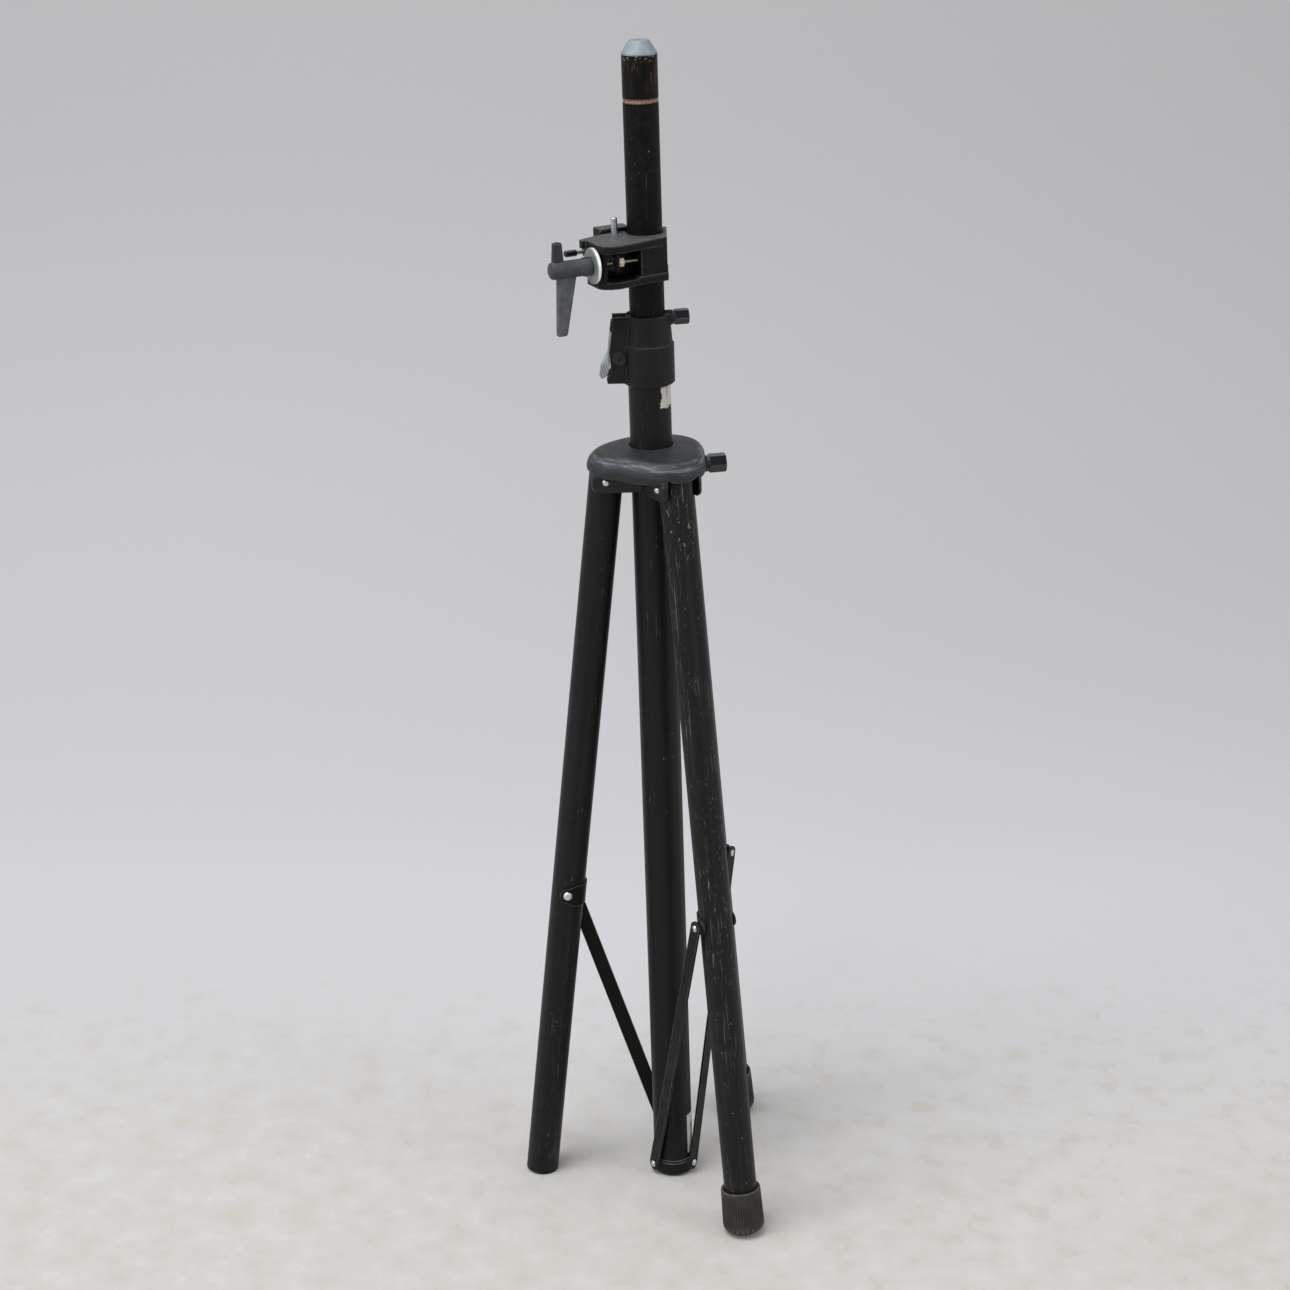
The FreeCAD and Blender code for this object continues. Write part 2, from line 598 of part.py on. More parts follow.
def crown_casting():
    shell = crowned(crown_outline(0, crown_rim, crown_top + 5), 0, CROWN_TOP_ROUND)
    shell = shell.makeFillet(CROWN_RIM_ROUND, edges_where(shell, flat_at(crown_rim)))
    inside = crowned(crown_outline(-CROWN_WALL, crown_rim - 10, crown_top + 5), CROWN_WALL,
                     CROWN_TOP_ROUND - CROWN_WALL)
    sleeve = upright(sleeve_outer, ear_low, crown_top - CROWN_LIP)
    limit = crown_outline(0, ear_low, crown_rim + CROWN_RIM_ROUND)
    limit = fuse(limit, inside)
    limit = limit.makeFillet(EAR_ROUND, edges_where(limit, flat_at(ear_low)))
    ears = []
    for azimuth in LEG_AZIMUTHS.values():
        ears += [swing(ear, azimuth).common(limit) for ear in crown_ears()]
    boss = knob_bore(crown_knob_azimuth, crown_knob_height, CROWN_BOSS_RADIUS,
                     sleeve_bore + 1, crown_knob_start - CROWN_KNOB_NECK - 0.4)
    casting = fuse(shell.cut(inside), fuse(sleeve, *ears))
    casting = fuse(casting, boss)
    bore = upright(mast_radius + CROWN_BORE_GAP, ear_low - 1, crown_top + 10)
    bush_seat = upright(sleeve_bore, ear_low - 1, crown_top - CROWN_LIP)
    screw_hole = knob_bore(crown_knob_azimuth, crown_knob_height, SCREW_RADIUS + PIN_CLEARANCE,
                           mast_radius, crown_knob_start)
    cuts = [bore, bush_seat, screw_hole]
    for azimuth in LEG_AZIMUTHS.values():
        cuts.append(swing(leg_sweep(), azimuth))
        pin_hole = cylinder(hole_radius, (pivot_radius, -ear_outer_face - 1, PIVOT_HEIGHT),
                            (pivot_radius, ear_outer_face + 1, PIVOT_HEIGHT))
        cuts.append(swing(pin_hole, azimuth))
    return cut(casting, *cuts)


def crown_bush():
    """Nylon bush between the crown and the mast, slotted for the lock screw."""
    bush = pipe(bush_outer, mast_radius + PIN_CLEARANCE, bush_top - BUSH_LENGTH, bush_top)
    slot = block(mast_radius - 2, bush_outer + 1, -slot_half, slot_half,
                 bush_top - BUSH_LENGTH - 1, slot_top)
    return cut(bush, swing(slot, crown_knob_azimuth))


def hex_knob(across, length, start, height, azimuth, neck_start):
    """Moulded hexagonal knob with a round ribbed neck, drawn along +X and swung round."""
    chamfer = 0.9
    knob = hexagon(across, length)
    limit = along_x([(0, 0), (across / sqrt(3) - chamfer, 0), (across / sqrt(3), chamfer),
                     (across / sqrt(3), length - chamfer), (across / sqrt(3) - chamfer, length),
                     (0, length)])
    knob = knob.common(limit)
    knob.translate(V(start, 0, 0))
    neck_radius = KNOB_NECK_SHARE * across / 2
    neck = along_x([(0, neck_start), (neck_radius, neck_start), (neck_radius, start), (0, start)])
    knob = fuse(knob, neck)
    knob = cut(knob, cylinder(SCREW_RADIUS, (neck_start - 1, 0, 0), (start + length / 2, 0, 0)))
    knob.translate(V(0, 0, height))
    return swing(knob, azimuth)


def lock_screw(tip, start, length, height, azimuth):
    """Threaded rod moulded into a knob, with a short blunt point."""
    end = start + length / 2
    screw = along_x([(0, tip), (SCREW_RADIUS - 0.8, tip), (SCREW_RADIUS, tip + 0.8),
                     (SCREW_RADIUS, end), (0, end)])
    screw.translate(V(0, 0, height))
    return swing(screw, azimuth)


# ---- mast -----------------------------------------------------------------------------------
def hub_cap():
    """Moulded cap in the end of the mast, with a flat boss for each brace."""
    flange = turned([(0, hub_bottom), (hub_radius, hub_bottom), (hub_radius, MAST_BOTTOM), (0, MAST_BOTTOM)])
    flange = flange.makeFillet(HUB_EDGE, edges_where(flange, flat_at(hub_bottom)))
    groove_low = MAST_BOTTOM - 3.6
    groove = pipe(hub_radius + 1, hub_radius - HUB_GROOVE, groove_low, groove_low + HUB_GROOVE)
    spigot = upright(mast_bore - SPIGOT_CLEARANCE, MAST_BOTTOM - 1, MAST_BOTTOM + HUB_SPIGOT)
    hollow = upright(mast_bore - 3, MAST_BOTTOM - 1, MAST_BOTTOM + HUB_SPIGOT + 1)
    bosses = []
    for azimuth in LEG_AZIMUTHS.values():
        boss = cylinder(HUB_BOSS_RADIUS, (0, -hub_radius / 2, hub_pivot_height),
                        (0, -hub_face, hub_pivot_height))
        bosses.append(swing(boss, azimuth))
    return cut(fuse(flange.cut(groove), spigot, *bosses), hollow)


def tube_label():
    """Blank sticker low on the mast."""
    high = label_bottom + LABEL_HEIGHT
    shell = pipe(mast_radius + LABEL_THICKNESS, mast_radius, label_bottom, high)
    reach = 2 * MAST_DIAMETER
    half = radians(LABEL_ARC / 2)
    wedge = plate_xy([(0, 0), (reach, -reach * tan(half)), (reach, reach * tan(half))],
                     label_bottom - 1, high + 1)
    return swing(shell.common(wedge), LABEL_AZIMUTH)


def collar_side(points):
    """Points on the collar's left side, given as (out from its surface, down from its top)."""
    return [(-collar_radius - out, collar_top - drop) for out, drop in points]


def collar_cheeks():
    """Side outline of the lever bracket on the left of the collar."""
    inner, outer = CHEEK_OUTLINE[-1][0], CHEEK_OUTLINE[0][0]
    top = [(inner, CHEEK_TOP_DROP), (outer + 0.3, CHEEK_TOP_DROP)]
    outline = collar_side(top + list(CHEEK_OUTLINE))
    cheeks = plate_xz(outline, -CHEEK_HALF_WIDTH, CHEEK_HALF_WIDTH)
    top_edges = edges_where(cheeks, lambda e: flat_at(cheek_top)(e) and e.BoundBox.XLength > 5)
    return cheeks.makeFillet(CHEEK_TOP_ROUND, top_edges)


def collar_casting():
    top_radius = collar_neck_radius - COLLAR_TAPER
    body = turned([(0, collar_bottom), (collar_radius - 1, collar_bottom), (collar_radius, collar_bottom + 1),
                   (collar_radius, collar_step - 0.8), (collar_radius - 0.8, collar_step),
                   (collar_neck_radius, collar_step), (top_radius, collar_top - 0.8),
                   (top_radius - 0.8, collar_top), (0, collar_top)])
    boss = knob_bore(COLLAR_KNOB_AZIMUTH, collar_knob_height, COLLAR_BOSS_RADIUS,
                     upper_radius, collar_knob_start - COLLAR_KNOB_NECK - 0.2)
    bolt_boss = cylinder(BOLT_BOSS_RADIUS, (bolt_x, 0, bolt_height),
                         (bolt_x, -CHEEK_HALF_WIDTH - BOLT_BOSS, bolt_height))
    casting = fuse(body, collar_cheeks(), boss, bolt_boss)
    head_seat = cylinder(BOLT_HEAD_RADIUS, (bolt_x, -CHEEK_HALF_WIDTH, bolt_height),
                         (bolt_x, -30, bolt_height))
    lower_bore = upright(mast_radius, collar_bottom - 1, mast_top)
    bush_bore = upright(collar_bush_outer, mast_top - 1, collar_top - COLLAR_LIP)
    top_bore = upright(upper_radius + CLAMP_TUBE_GAP, mast_top, collar_top + 5)
    slot = block(-60, 2 - upper_radius, -lever_slot_half, lever_slot_half, shoe_low - 1, collar_top + 1)
    lower_slot = block(-60, bolt_x + 6, -lever_slot_half, lever_slot_half, bracket_bottom - 1,
                       collar_top + 1)
    cam_hole = cylinder(PIN_RADIUS, (cam_pin_x, -30, cam_pin_height), (cam_pin_x, 30, cam_pin_height))
    bolt_hole = cylinder(PIN_RADIUS, (bolt_x, -30, bolt_height),
                         (bolt_x, 30, bolt_height))
    knob_hole = knob_bore(COLLAR_KNOB_AZIMUTH, collar_knob_height, SCREW_RADIUS + PIN_CLEARANCE,
                          upper_radius - 1, collar_knob_start)
    return cut(casting, head_seat, lower_bore, bush_bore, top_bore, slot, lower_slot, cam_hole,
               bolt_hole, knob_hole)


def collar_bush():
    bush = pipe(collar_bush_outer, upper_radius + PIN_CLEARANCE, mast_top, collar_top - COLLAR_LIP)
    window = block(-60, 0, -lever_slot_half, lever_slot_half, shoe_low - 1, collar_top)
    knob_hole = knob_bore(COLLAR_KNOB_AZIMUTH, collar_knob_height, SCREW_RADIUS + 4 * PIN_CLEARANCE,
                          upper_radius - 1, collar_knob_start)
    return cut(bush, window, knob_hole)


def brake_shoe():
    """Hard plastic pad that the cam presses on the upper tube."""
    back = cam_pin_x + CAM_HEAD_RADIUS + SCREW_TIP_GAP
    low = shoe_low
    pad = block(back, 0, -LEVER_HALF_WIDTH, LEVER_HALF_WIDTH, low, low + SHOE_HEIGHT)
    return cut(pad, upright(upper_radius + SCREW_TIP_GAP, low - 1, low + SHOE_HEIGHT + 1))


def cam_lever():
    """Plated lever: round cam head, thin arm down the bracket, ribbed finger tab."""
    y = LEVER_HALF_WIDTH
    head = cylinder(CAM_HEAD_RADIUS, (cam_pin_x, -y, cam_pin_height), (cam_pin_x, y, cam_pin_height))
    arm = plate_xz(collar_side(CAM_ARM_OUTLINE), -y, y)
    wide = y + CAM_TAB_OVERHANG
    tab = plate_xz(collar_side(CAM_TAB_OUTLINE), -wide, wide)
    lever = fuse(head, arm, tab)
    hole = cylinder(hole_radius, (cam_pin_x, -30, cam_pin_height), (cam_pin_x, 30, cam_pin_height))
    grooves = [cylinder(TAB_GROOVE_RADIUS, (x, -wide - 1, z), (x, wide + 1, z))
               for x, z in collar_side(TAB_GROOVES)]
    return cut(lever, hole, *grooves)


def cam_pin():
    end = CHEEK_HALF_WIDTH
    return cylinder(PIN_RADIUS, (cam_pin_x, -end, cam_pin_height), (cam_pin_x, end, cam_pin_height))


def collar_bolt():
    """Socket head screw that draws the cheeks together."""
    seat = -CHEEK_HALF_WIDTH
    head_end = seat - BOLT_BOSS + 0.4
    shank = cylinder(PIN_RADIUS, (bolt_x, seat, bolt_height),
                     (bolt_x, CHEEK_HALF_WIDTH + NUT_HEIGHT + 1, bolt_height))
    head = cylinder(BOLT_HEAD_RADIUS, (bolt_x, head_end, bolt_height),
                    (bolt_x, seat, bolt_height))
    socket = hexagon(HEX_SOCKET, 2.0)
    socket.rotate(V(0, 0, 0), V(0, 0, 1), 90)
    socket.translate(V(bolt_x, head_end - 0.5, bolt_height))
    return cut(fuse(shank, head), socket)


def collar_nut():
    nut = hexagon(NUT_ACROSS, NUT_HEIGHT)
    nut.rotate(V(0, 0, 0), V(0, 0, 1), 90)
    nut.translate(V(bolt_x, CHEEK_HALF_WIDTH, bolt_height))
    hole = cylinder(PIN_RADIUS, (bolt_x, 0, bolt_height), (bolt_x, 30, bolt_height))
    return cut(nut, hole)


# ---- upper tube -----------------------------------------------------------------------------
def upper_tube():
    """Drawn steel tube with a shallow groove turned round it near the top."""
    tube = pipe(upper_radius, upper_radius - UPPER_WALL, upper_bottom, upper_top)
    ring = pipe(upper_radius + 1, upper_radius - RING_DEPTH, ring_top - RING_WIDTH, ring_top)
    return cut(tube, ring)


def top_cap():
    """Cast zinc spigot closing the tube, with a steep bevel up to a small flat."""
    spigot = upper_radius - UPPER_WALL - SPIGOT_CLEARANCE
    low = upper_top - CAP_SPIGOT
    cap = turned([(0, low), (spigot, low), (spigot, upper_top), (upper_radius - 0.2, upper_top),
                  (upper_radius - 0.2, upper_top + CAP_FLANGE), (CAP_FLAT_RADIUS + 0.7, cap_top - 0.9),
                  (CAP_FLAT_RADIUS, cap_top), (0, cap_top)])
    return cut(cap, upright(spigot - 3, low - 1, upper_top))


# ---- tube clamp, drawn with +X towards the lever and +Y to the back ---------------------------
def clamp_axes(solid):
    """Turn a part drawn in the clamp's axes (p along +X, w along +Y reversed) to the stand's."""
    placed = solid.mirror(V(0, 0, 0), V(0, 1, 0))
    return swing(placed, CLAMP_AZIMUTH)


def hook_edge(w, face):
    """p of a point on a plane facing +X of the stand at this distance, for a given w."""
    turn = radians(CLAMP_AZIMUTH)
    return (face - w * sin(turn)) / cos(turn)


def clamp_outline(front, left_lobe):
    """Plan of the clamp's plates, with its front edge at this w."""
    lobe = [(CLAMP_END, -2), (CLAMP_END - 13, 10)]
    if left_lobe:
        lobe[1:1] = [(CLAMP_END + 5, -1), (CLAMP_END + 5, 3)]
    shoulder_w = SPINDLE_W - JAW_LUG_FRONT
    inner_face = hook_face - HOOK_THICKNESS
    return ([(hook_edge(shoulder_w, hook_face), shoulder_w), (CLAMP_END - 42, front + 4),
             (CLAMP_END - 18, front - 2), (CLAMP_END - 9, front), (CLAMP_END - 3, front + 4),
             (CLAMP_END, front + 10)] + lobe
            + [(30, PLATE_BACK), (16, PLATE_BACK), (JAW_START, 0), (-JAW_START, 5),
               (hook_edge(HOOK_BACK, inner_face), HOOK_BACK), (hook_edge(HOOK_BACK, hook_face), HOOK_BACK)])


def rod(radius, p0, p1, w, z):
    return cylinder(radius, (p0, w, z), (p1, w, z))


def clamp_body():
    top = plate_xy(clamp_outline(CLAMP_FRONT, True), clamp_top - TOP_PLATE, clamp_top)
    plan = clamp_outline(CLAMP_FRONT + CLAMP_TAPER, False)
    bottom = plate_xy(plan, clamp_bottom, clamp_bottom + BOTTOM_PLATE)
    full = plate_xy(plan, clamp_bottom, clamp_top)
    right = full.common(block(-60, JAW_START - SIDE_GAP, -60, 60, clamp_bottom, clamp_top))
    right_front = full.common(block(0, WINDOW_START, -60, jaw_front - SIDE_GAP, clamp_bottom, clamp_top))
    left = full.common(block(window_end, 90, -60, 2, clamp_bottom, clamp_top))
    lock_boss = rod(LOCK_BOSS_RADIUS, lock_boss_start, lock_boss_end, LOCK_W, lock_height)
    web = block(lock_boss_start, lock_boss_end, LOCK_W - LOCK_BOSS_RADIUS, LOCK_W, lock_height, clamp_top - 1)
    web = web.common(top.fuse(block(0, 90, -20, LOCK_W, lock_height, clamp_top - TOP_PLATE + 1)))
    body = fuse(top, bottom, right, right_front, left, lock_boss, web)
    tube_space = upright(upper_radius + CLAMP_TUBE_GAP, clamp_bottom - 1, clamp_top + 1)
    bearing = rod(SPINDLE_RADIUS + PIN_CLEARANCE, SPINDLE_TIP - 1, CLAMP_END + 1, SPINDLE_W, spindle_height)
    lock_hole = rod(LOCK_SCREW_RADIUS + PIN_CLEARANCE, lock_boss_start - 1, lock_boss_end + 1,
                    LOCK_W, lock_height)
    stud_hole = upright(STUD_ROOT_RADIUS, clamp_top - TOP_PLATE - 1, clamp_top + 1, STUD_P, STUD_W)
    return clamp_axes(cut(body, tube_space, bearing, lock_hole, stud_hole))


def camera_stud():
    """Steel stud standing on the clamp's top plate, with a thinner root screwed into it."""
    high = clamp_top + STUD_LENGTH
    root = upright(STUD_ROOT_RADIUS, clamp_top - TOP_PLATE, clamp_top, STUD_P, STUD_W)
    pin = upright(STUD_RADIUS, clamp_top, high, STUD_P, STUD_W)
    pin = pin.makeChamfer(STUD_CHAMFER, edges_where(pin, flat_at(high)))
    return clamp_axes(fuse(root, pin))


def moving_jaw():
    """Cast jaw: slides between the plates, with a lug round the spindle and a tall back block."""
    gap = SIDE_GAP
    low = clamp_bottom + BOTTOM_PLATE + gap
    high = clamp_top - TOP_PLATE - gap
    near = PLATE_BACK + 2 * gap
    slide = block(JAW_START, jaw_end, jaw_front, near, low, high)
    far = near + JAW_BACK_DEPTH
    crest = clamp_top + JAW_BACK_RISE
    back = block(JAW_BACK_START, JAW_BACK_START + JAW_BACK_LENGTH, near, far,
                 clamp_bottom + JAW_BACK_FOOT, crest)
    back = back.makeFillet(2.0, edges_where(back, lambda e: e.BoundBox.YMin > far - 0.01
                                            or flat_at(crest)(e)))
    lug = block(jaw_end - JAW_LUG, jaw_end, SPINDLE_W - JAW_LUG_FRONT, 0,
                spindle_height - JAW_LUG_HALF_HEIGHT, spindle_height + JAW_LUG_HALF_HEIGHT)
    jaw = fuse(slide, back, lug)
    tube_space = upright(upper_radius + gap, clamp_bottom - 1, crest + 1)
    spindle_hole = rod(SPINDLE_RADIUS + PIN_CLEARANCE, 0, jaw_end + 1, SPINDLE_W, spindle_height)
    return clamp_axes(cut(jaw, tube_space, spindle_hole))


def jaw_nut():
    nut = hexagon(JAW_NUT_ACROSS, JAW_NUT_LENGTH)
    nut.translate(V(jaw_nut_start, SPINDLE_W, spindle_height))
    hole = rod(SPINDLE_RADIUS + PIN_CLEARANCE, 0, jaw_end, SPINDLE_W, spindle_height)
    return clamp_axes(cut(nut, hole))


def spindle_part(profile):
    """Turned part on the spindle's axis from (radius, p) points."""
    solid = along_x(profile)
    solid.translate(V(0, SPINDLE_W, spindle_height))
    return solid


def clamp_spindle():
    spindle = spindle_part([(0, SPINDLE_TIP), (SPINDLE_RADIUS, SPINDLE_TIP), (SPINDLE_RADIUS, shoulder),
                            (DRIVE_RADIUS, shoulder), (DRIVE_RADIUS, drive_end), (0, drive_end)])
    tapped = rod(LEVER_SCREW_RADIUS, lever_screw_start, drive_end + 1, SPINDLE_W, spindle_height)
    return clamp_axes(cut(spindle, tapped))


def spindle_washer():
    start = washer_face
    end = start + WASHER_THICKNESS
    disc = spindle_part([(SPINDLE_RADIUS, start), (WASHER_RADIUS - 0.8, start), (WASHER_RADIUS, start + 0.8),
                         (WASHER_RADIUS, end - 0.8), (WASHER_RADIUS - 0.8, end), (SPINDLE_RADIUS, end)])
    return clamp_axes(disc)


def lever_screw():
    head = lever_screw_head
    screw = spindle_part([(0, lever_screw_start), (LEVER_SCREW_RADIUS, lever_screw_start),
                          (LEVER_SCREW_RADIUS, head), (LEVER_SCREW_HEAD_RADIUS, head),
                          (LEVER_SCREW_HEAD_RADIUS, head + LEVER_SCREW_HEAD_HEIGHT),
                          (0, head + LEVER_SCREW_HEAD_HEIGHT)])
    return clamp_axes(screw)


def lever_spring():
    """Return spring on the lever's screw, drawn at the length it has with the lever lifted."""
    start = lever_bore_end + LEVER_LIFT + SPRING_WIRE_RADIUS + SIDE_GAP
    end = lever_screw_head - SPRING_WIRE_RADIUS - SIDE_GAP / 2
    length = end - start
    helix = Part.makeHelix(length / SPRING_TURNS, length, SPRING_RADIUS)
    ring = Part.Wire(Part.makeCircle(SPRING_WIRE_RADIUS, V(SPRING_RADIUS, 0, 0), V(0, 1, 0)))
    coil = Part.Wire(helix).makePipeShell([ring], True, True)
    coil.rotate(V(0, 0, 0), V(0, 1, 0), 90)
    coil.translate(V(start, SPINDLE_W, spindle_height))
    return clamp_axes(coil)


def tapered_blade(root, tip, root_half, tip_half, root_drop, tip_drop):
    """Blade between two rectangles at different drops below the spindle axis."""
    def ring(p_range, half, drop):
        z = spindle_height - drop
        p0, p1 = shoulder + p_range[0], shoulder + p_range[1]
        corners = [V(p0, SPINDLE_W - half, z), V(p1, SPINDLE_W - half, z),
                   V(p1, SPINDLE_W + half, z), V(p0, SPINDLE_W + half, z)]
        return Part.makePolygon(corners + corners[:1])
    return Part.makeLoft([ring(root, root_half, root_drop), ring(tip, tip_half, tip_drop)], True)


def clamp_lever():
    """Moulded ratchet lever: barrel over the spindle, long arm down, short wing up."""
    start = shoulder + SIDE_GAP
    radius = LEVER_BARREL_RADIUS
    barrel = spindle_part([(0, start), (radius + 0.8, start), (radius + 0.8, start + 8),
                           (radius, start + 8.8), (radius, lever_barrel_end - 2.5),
                           (radius - 2.5, lever_barrel_end), (0, lever_barrel_end)])
    arm = tapered_blade(LEVER_ARM_ROOT, LEVER_ARM_TIP, LEVER_ARM_THICKNESS / 2,
                        LEVER_ARM_TIP_THICKNESS / 2, 0, LEVER_ARM_LENGTH)
    wing = tapered_blade(LEVER_WING, (LEVER_WING[0] + 2, LEVER_WING[1] - 1.5), LEVER_ARM_THICKNESS / 2,
                         LEVER_ARM_TIP_THICKNESS / 2, 0, -LEVER_WING_HEIGHT)
    lever = fuse(barrel, arm, wing)
    drive = rod(DRIVE_RADIUS + PIN_CLEARANCE, start - 1, lever_bore_end, SPINDLE_W, spindle_height)
    throat = rod(LEVER_SCREW_RADIUS + SIDE_GAP, start, lever_barrel_end, SPINDLE_W, spindle_height)
    chamber = rod(SPRING_CHAMBER_RADIUS, lever_bore_end, lever_barrel_end + 1, SPINDLE_W, spindle_height)
    return clamp_axes(cut(lever, drive, throat, chamber))


def lever_cap():
    end = lever_barrel_end - 0.4
    cap = spindle_part([(0, end - LEVER_CAP_LENGTH), (SPRING_CHAMBER_RADIUS, end - LEVER_CAP_LENGTH),
                        (SPRING_CHAMBER_RADIUS, end), (SPRING_CHAMBER_RADIUS - 4, end), (0, end - 1)])
    return clamp_axes(cap)


def side_lock_screw():
    end = lock_knob_start + 3
    return clamp_axes(rod(LOCK_SCREW_RADIUS, lock_boss_start + SIDE_GAP, end, LOCK_W, lock_height))


def side_lock_knob():
    radius = LOCK_KNOB_RADIUS
    start, end = lock_knob_start, lock_knob_end
    knob = along_x([(0, start), (radius - 0.6, start), (radius, start + 0.6), (radius, end - 1.2),
                    (radius - 1.2, end), (0, end)])
    knob.translate(V(0, LOCK_W, lock_height))
    return clamp_axes(cut(knob, rod(LOCK_SCREW_RADIUS, start - 1, start + 3, LOCK_W, lock_height)))


# ---- the stand's lean ------------------------------------------------------------------------
def stand_lean():
    """Lean angle (radians, towards -X) and floor height with one bare leg and two rubber feet.

    The bare tube stands on the inner edge of its end; a rubber foot stands on its domed sole.
    """
    s, c = sin(radians(LEG_SPREAD)), cos(radians(LEG_SPREAD))
    bare_x = -(pivot_radius + LEG_LENGTH * s - leg_radius * c)
    bare_z = PIVOT_HEIGHT - LEG_LENGTH * c - leg_radius * s
    centre = LEG_LENGTH + FOOT_SOLE - FOOT_DOME_RADIUS
    foot_x = (pivot_radius + centre * s) * cos(radians(LEG_AZIMUTHS["rear"]))
    foot_z = PIVOT_HEIGHT - centre * c
    across, up = bare_x - foot_x, bare_z - foot_z
    angle = asin(FOOT_DOME_RADIUS / hypot(across, up)) - pi - atan2(up, across)
    return angle, bare_x * sin(angle) + bare_z * cos(angle)


def build():
    """All nodes by name, upright about the mast axis."""
    nodes = {}
    nodes["crown_casting"] = crown_casting()
    nodes["crown_bush"] = crown_bush()
    neck_start = crown_knob_start - CROWN_KNOB_NECK
    nodes["crown_knob"] = hex_knob(CROWN_KNOB_ACROSS, CROWN_KNOB_LENGTH, crown_knob_start,
                                   crown_knob_height, crown_knob_azimuth, neck_start)
    nodes["crown_lock_screw"] = lock_screw(mast_radius + SCREW_TIP_GAP, crown_knob_start,
                                           CROWN_KNOB_LENGTH, crown_knob_height, crown_knob_azimuth)
    tube, strap, foot, pivot, pin = leg_tube(), leg_strap(), rubber_foot(), pivot_pin(), brace_pin()
    bar, rivet = brace_bar(), hub_rivet()
    for name in LEG_NAMES:
        azimuth = LEG_AZIMUTHS[name]
        nodes["leg_tube_" + name] = lean_leg(tube, azimuth)
        nodes["leg_strap_" + name] = lean_leg(strap, azimuth)
        nodes["leg_pivot_pin_" + name] = lean_leg(pivot, azimuth)
        nodes["brace_pin_" + name] = lean_leg(pin, azimuth)
        nodes["brace_bar_" + name] = lean_brace(bar, azimuth)
        nodes["hub_rivet_" + name] = lean_brace(rivet, azimuth)
        if name in FOOTED_LEGS:
            nodes["rubber_foot_" + name] = lean_leg(foot, azimuth)
    nodes["lower_tube"] = pipe(mast_radius, mast_bore, MAST_BOTTOM, mast_top)
    nodes["hub_cap"] = hub_cap()
    nodes["tube_label"] = tube_label()
    nodes["collar_casting"] = collar_casting()
    nodes["collar_bush"] = collar_bush()
    nodes["brake_shoe"] = brake_shoe()
    nodes["cam_pin"] = cam_pin()
    nodes["collar_bolt"] = collar_bolt()
    nodes["collar_nut"] = collar_nut()
    nodes["cam_lever"] = cam_lever()
    nodes["collar_knob"] = hex_knob(COLLAR_KNOB_ACROSS, COLLAR_KNOB_LENGTH, collar_knob_start,
                                    collar_knob_height, COLLAR_KNOB_AZIMUTH,
                                    collar_knob_start - COLLAR_KNOB_NECK)
    nodes["collar_lock_screw"] = lock_screw(upper_radius + SCREW_TIP_GAP, collar_knob_start,
                                            COLLAR_KNOB_LENGTH, collar_knob_height, COLLAR_KNOB_AZIMUTH)
    nodes["upper_tube"] = upper_tube()
    nodes["top_cap"] = top_cap()
    nodes["tube_end_bush"] = pipe(mast_bore - PIN_CLEARANCE, upper_radius, upper_bottom,
                                  upper_bottom + END_BUSH_LENGTH)
    nodes["clamp_body"] = clamp_body()
    nodes["camera_stud"] = camera_stud()
    nodes["moving_jaw"] = moving_jaw()
    nodes["jaw_nut"] = jaw_nut()
    nodes["clamp_spindle"] = clamp_spindle()
    nodes["spindle_washer"] = spindle_washer()
    nodes["lever_screw"] = lever_screw()
    nodes["lever_spring"] = lever_spring()
    nodes["clamp_lever"] = clamp_lever()
    nodes["lever_cap"] = lever_cap()
    nodes["side_lock_screw"] = side_lock_screw()
    nodes["side_lock_knob"] = side_lock_knob()
    return nodes


def standing_placement(solids):
    """Lean the stand, set it on the floor and put the origin under the middle of its box."""
    lean, floor = stand_lean()
    turn = FreeCAD.Placement(V(0, 0, 0), FreeCAD.Rotation(V(0, 1, 0), -degrees(lean)))
    leaned = Part.makeCompound(list(solids))
    leaned.Placement = turn
    box = leaned.optimalBoundingBox(False, False)
    shift = V(-(box.XMin + box.XMax) / 2, -(box.YMin + box.YMax) / 2, -floor)
    return FreeCAD.Placement(shift, turn.Rotation)


nodes = build()
standing = standing_placement(nodes.values())
os.makedirs("parts", exist_ok=True)
for node_name, solid in nodes.items():
    placed = solid.copy()
    placed.transformShape(standing.toMatrix())
    placed.exportStep("parts/" + node_name + ".step")
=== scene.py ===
from math import cos, pi, radians, sin, sqrt

import bmesh
import bpy
import numpy as np
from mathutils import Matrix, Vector
from mathutils.bvhtree import BVHTree


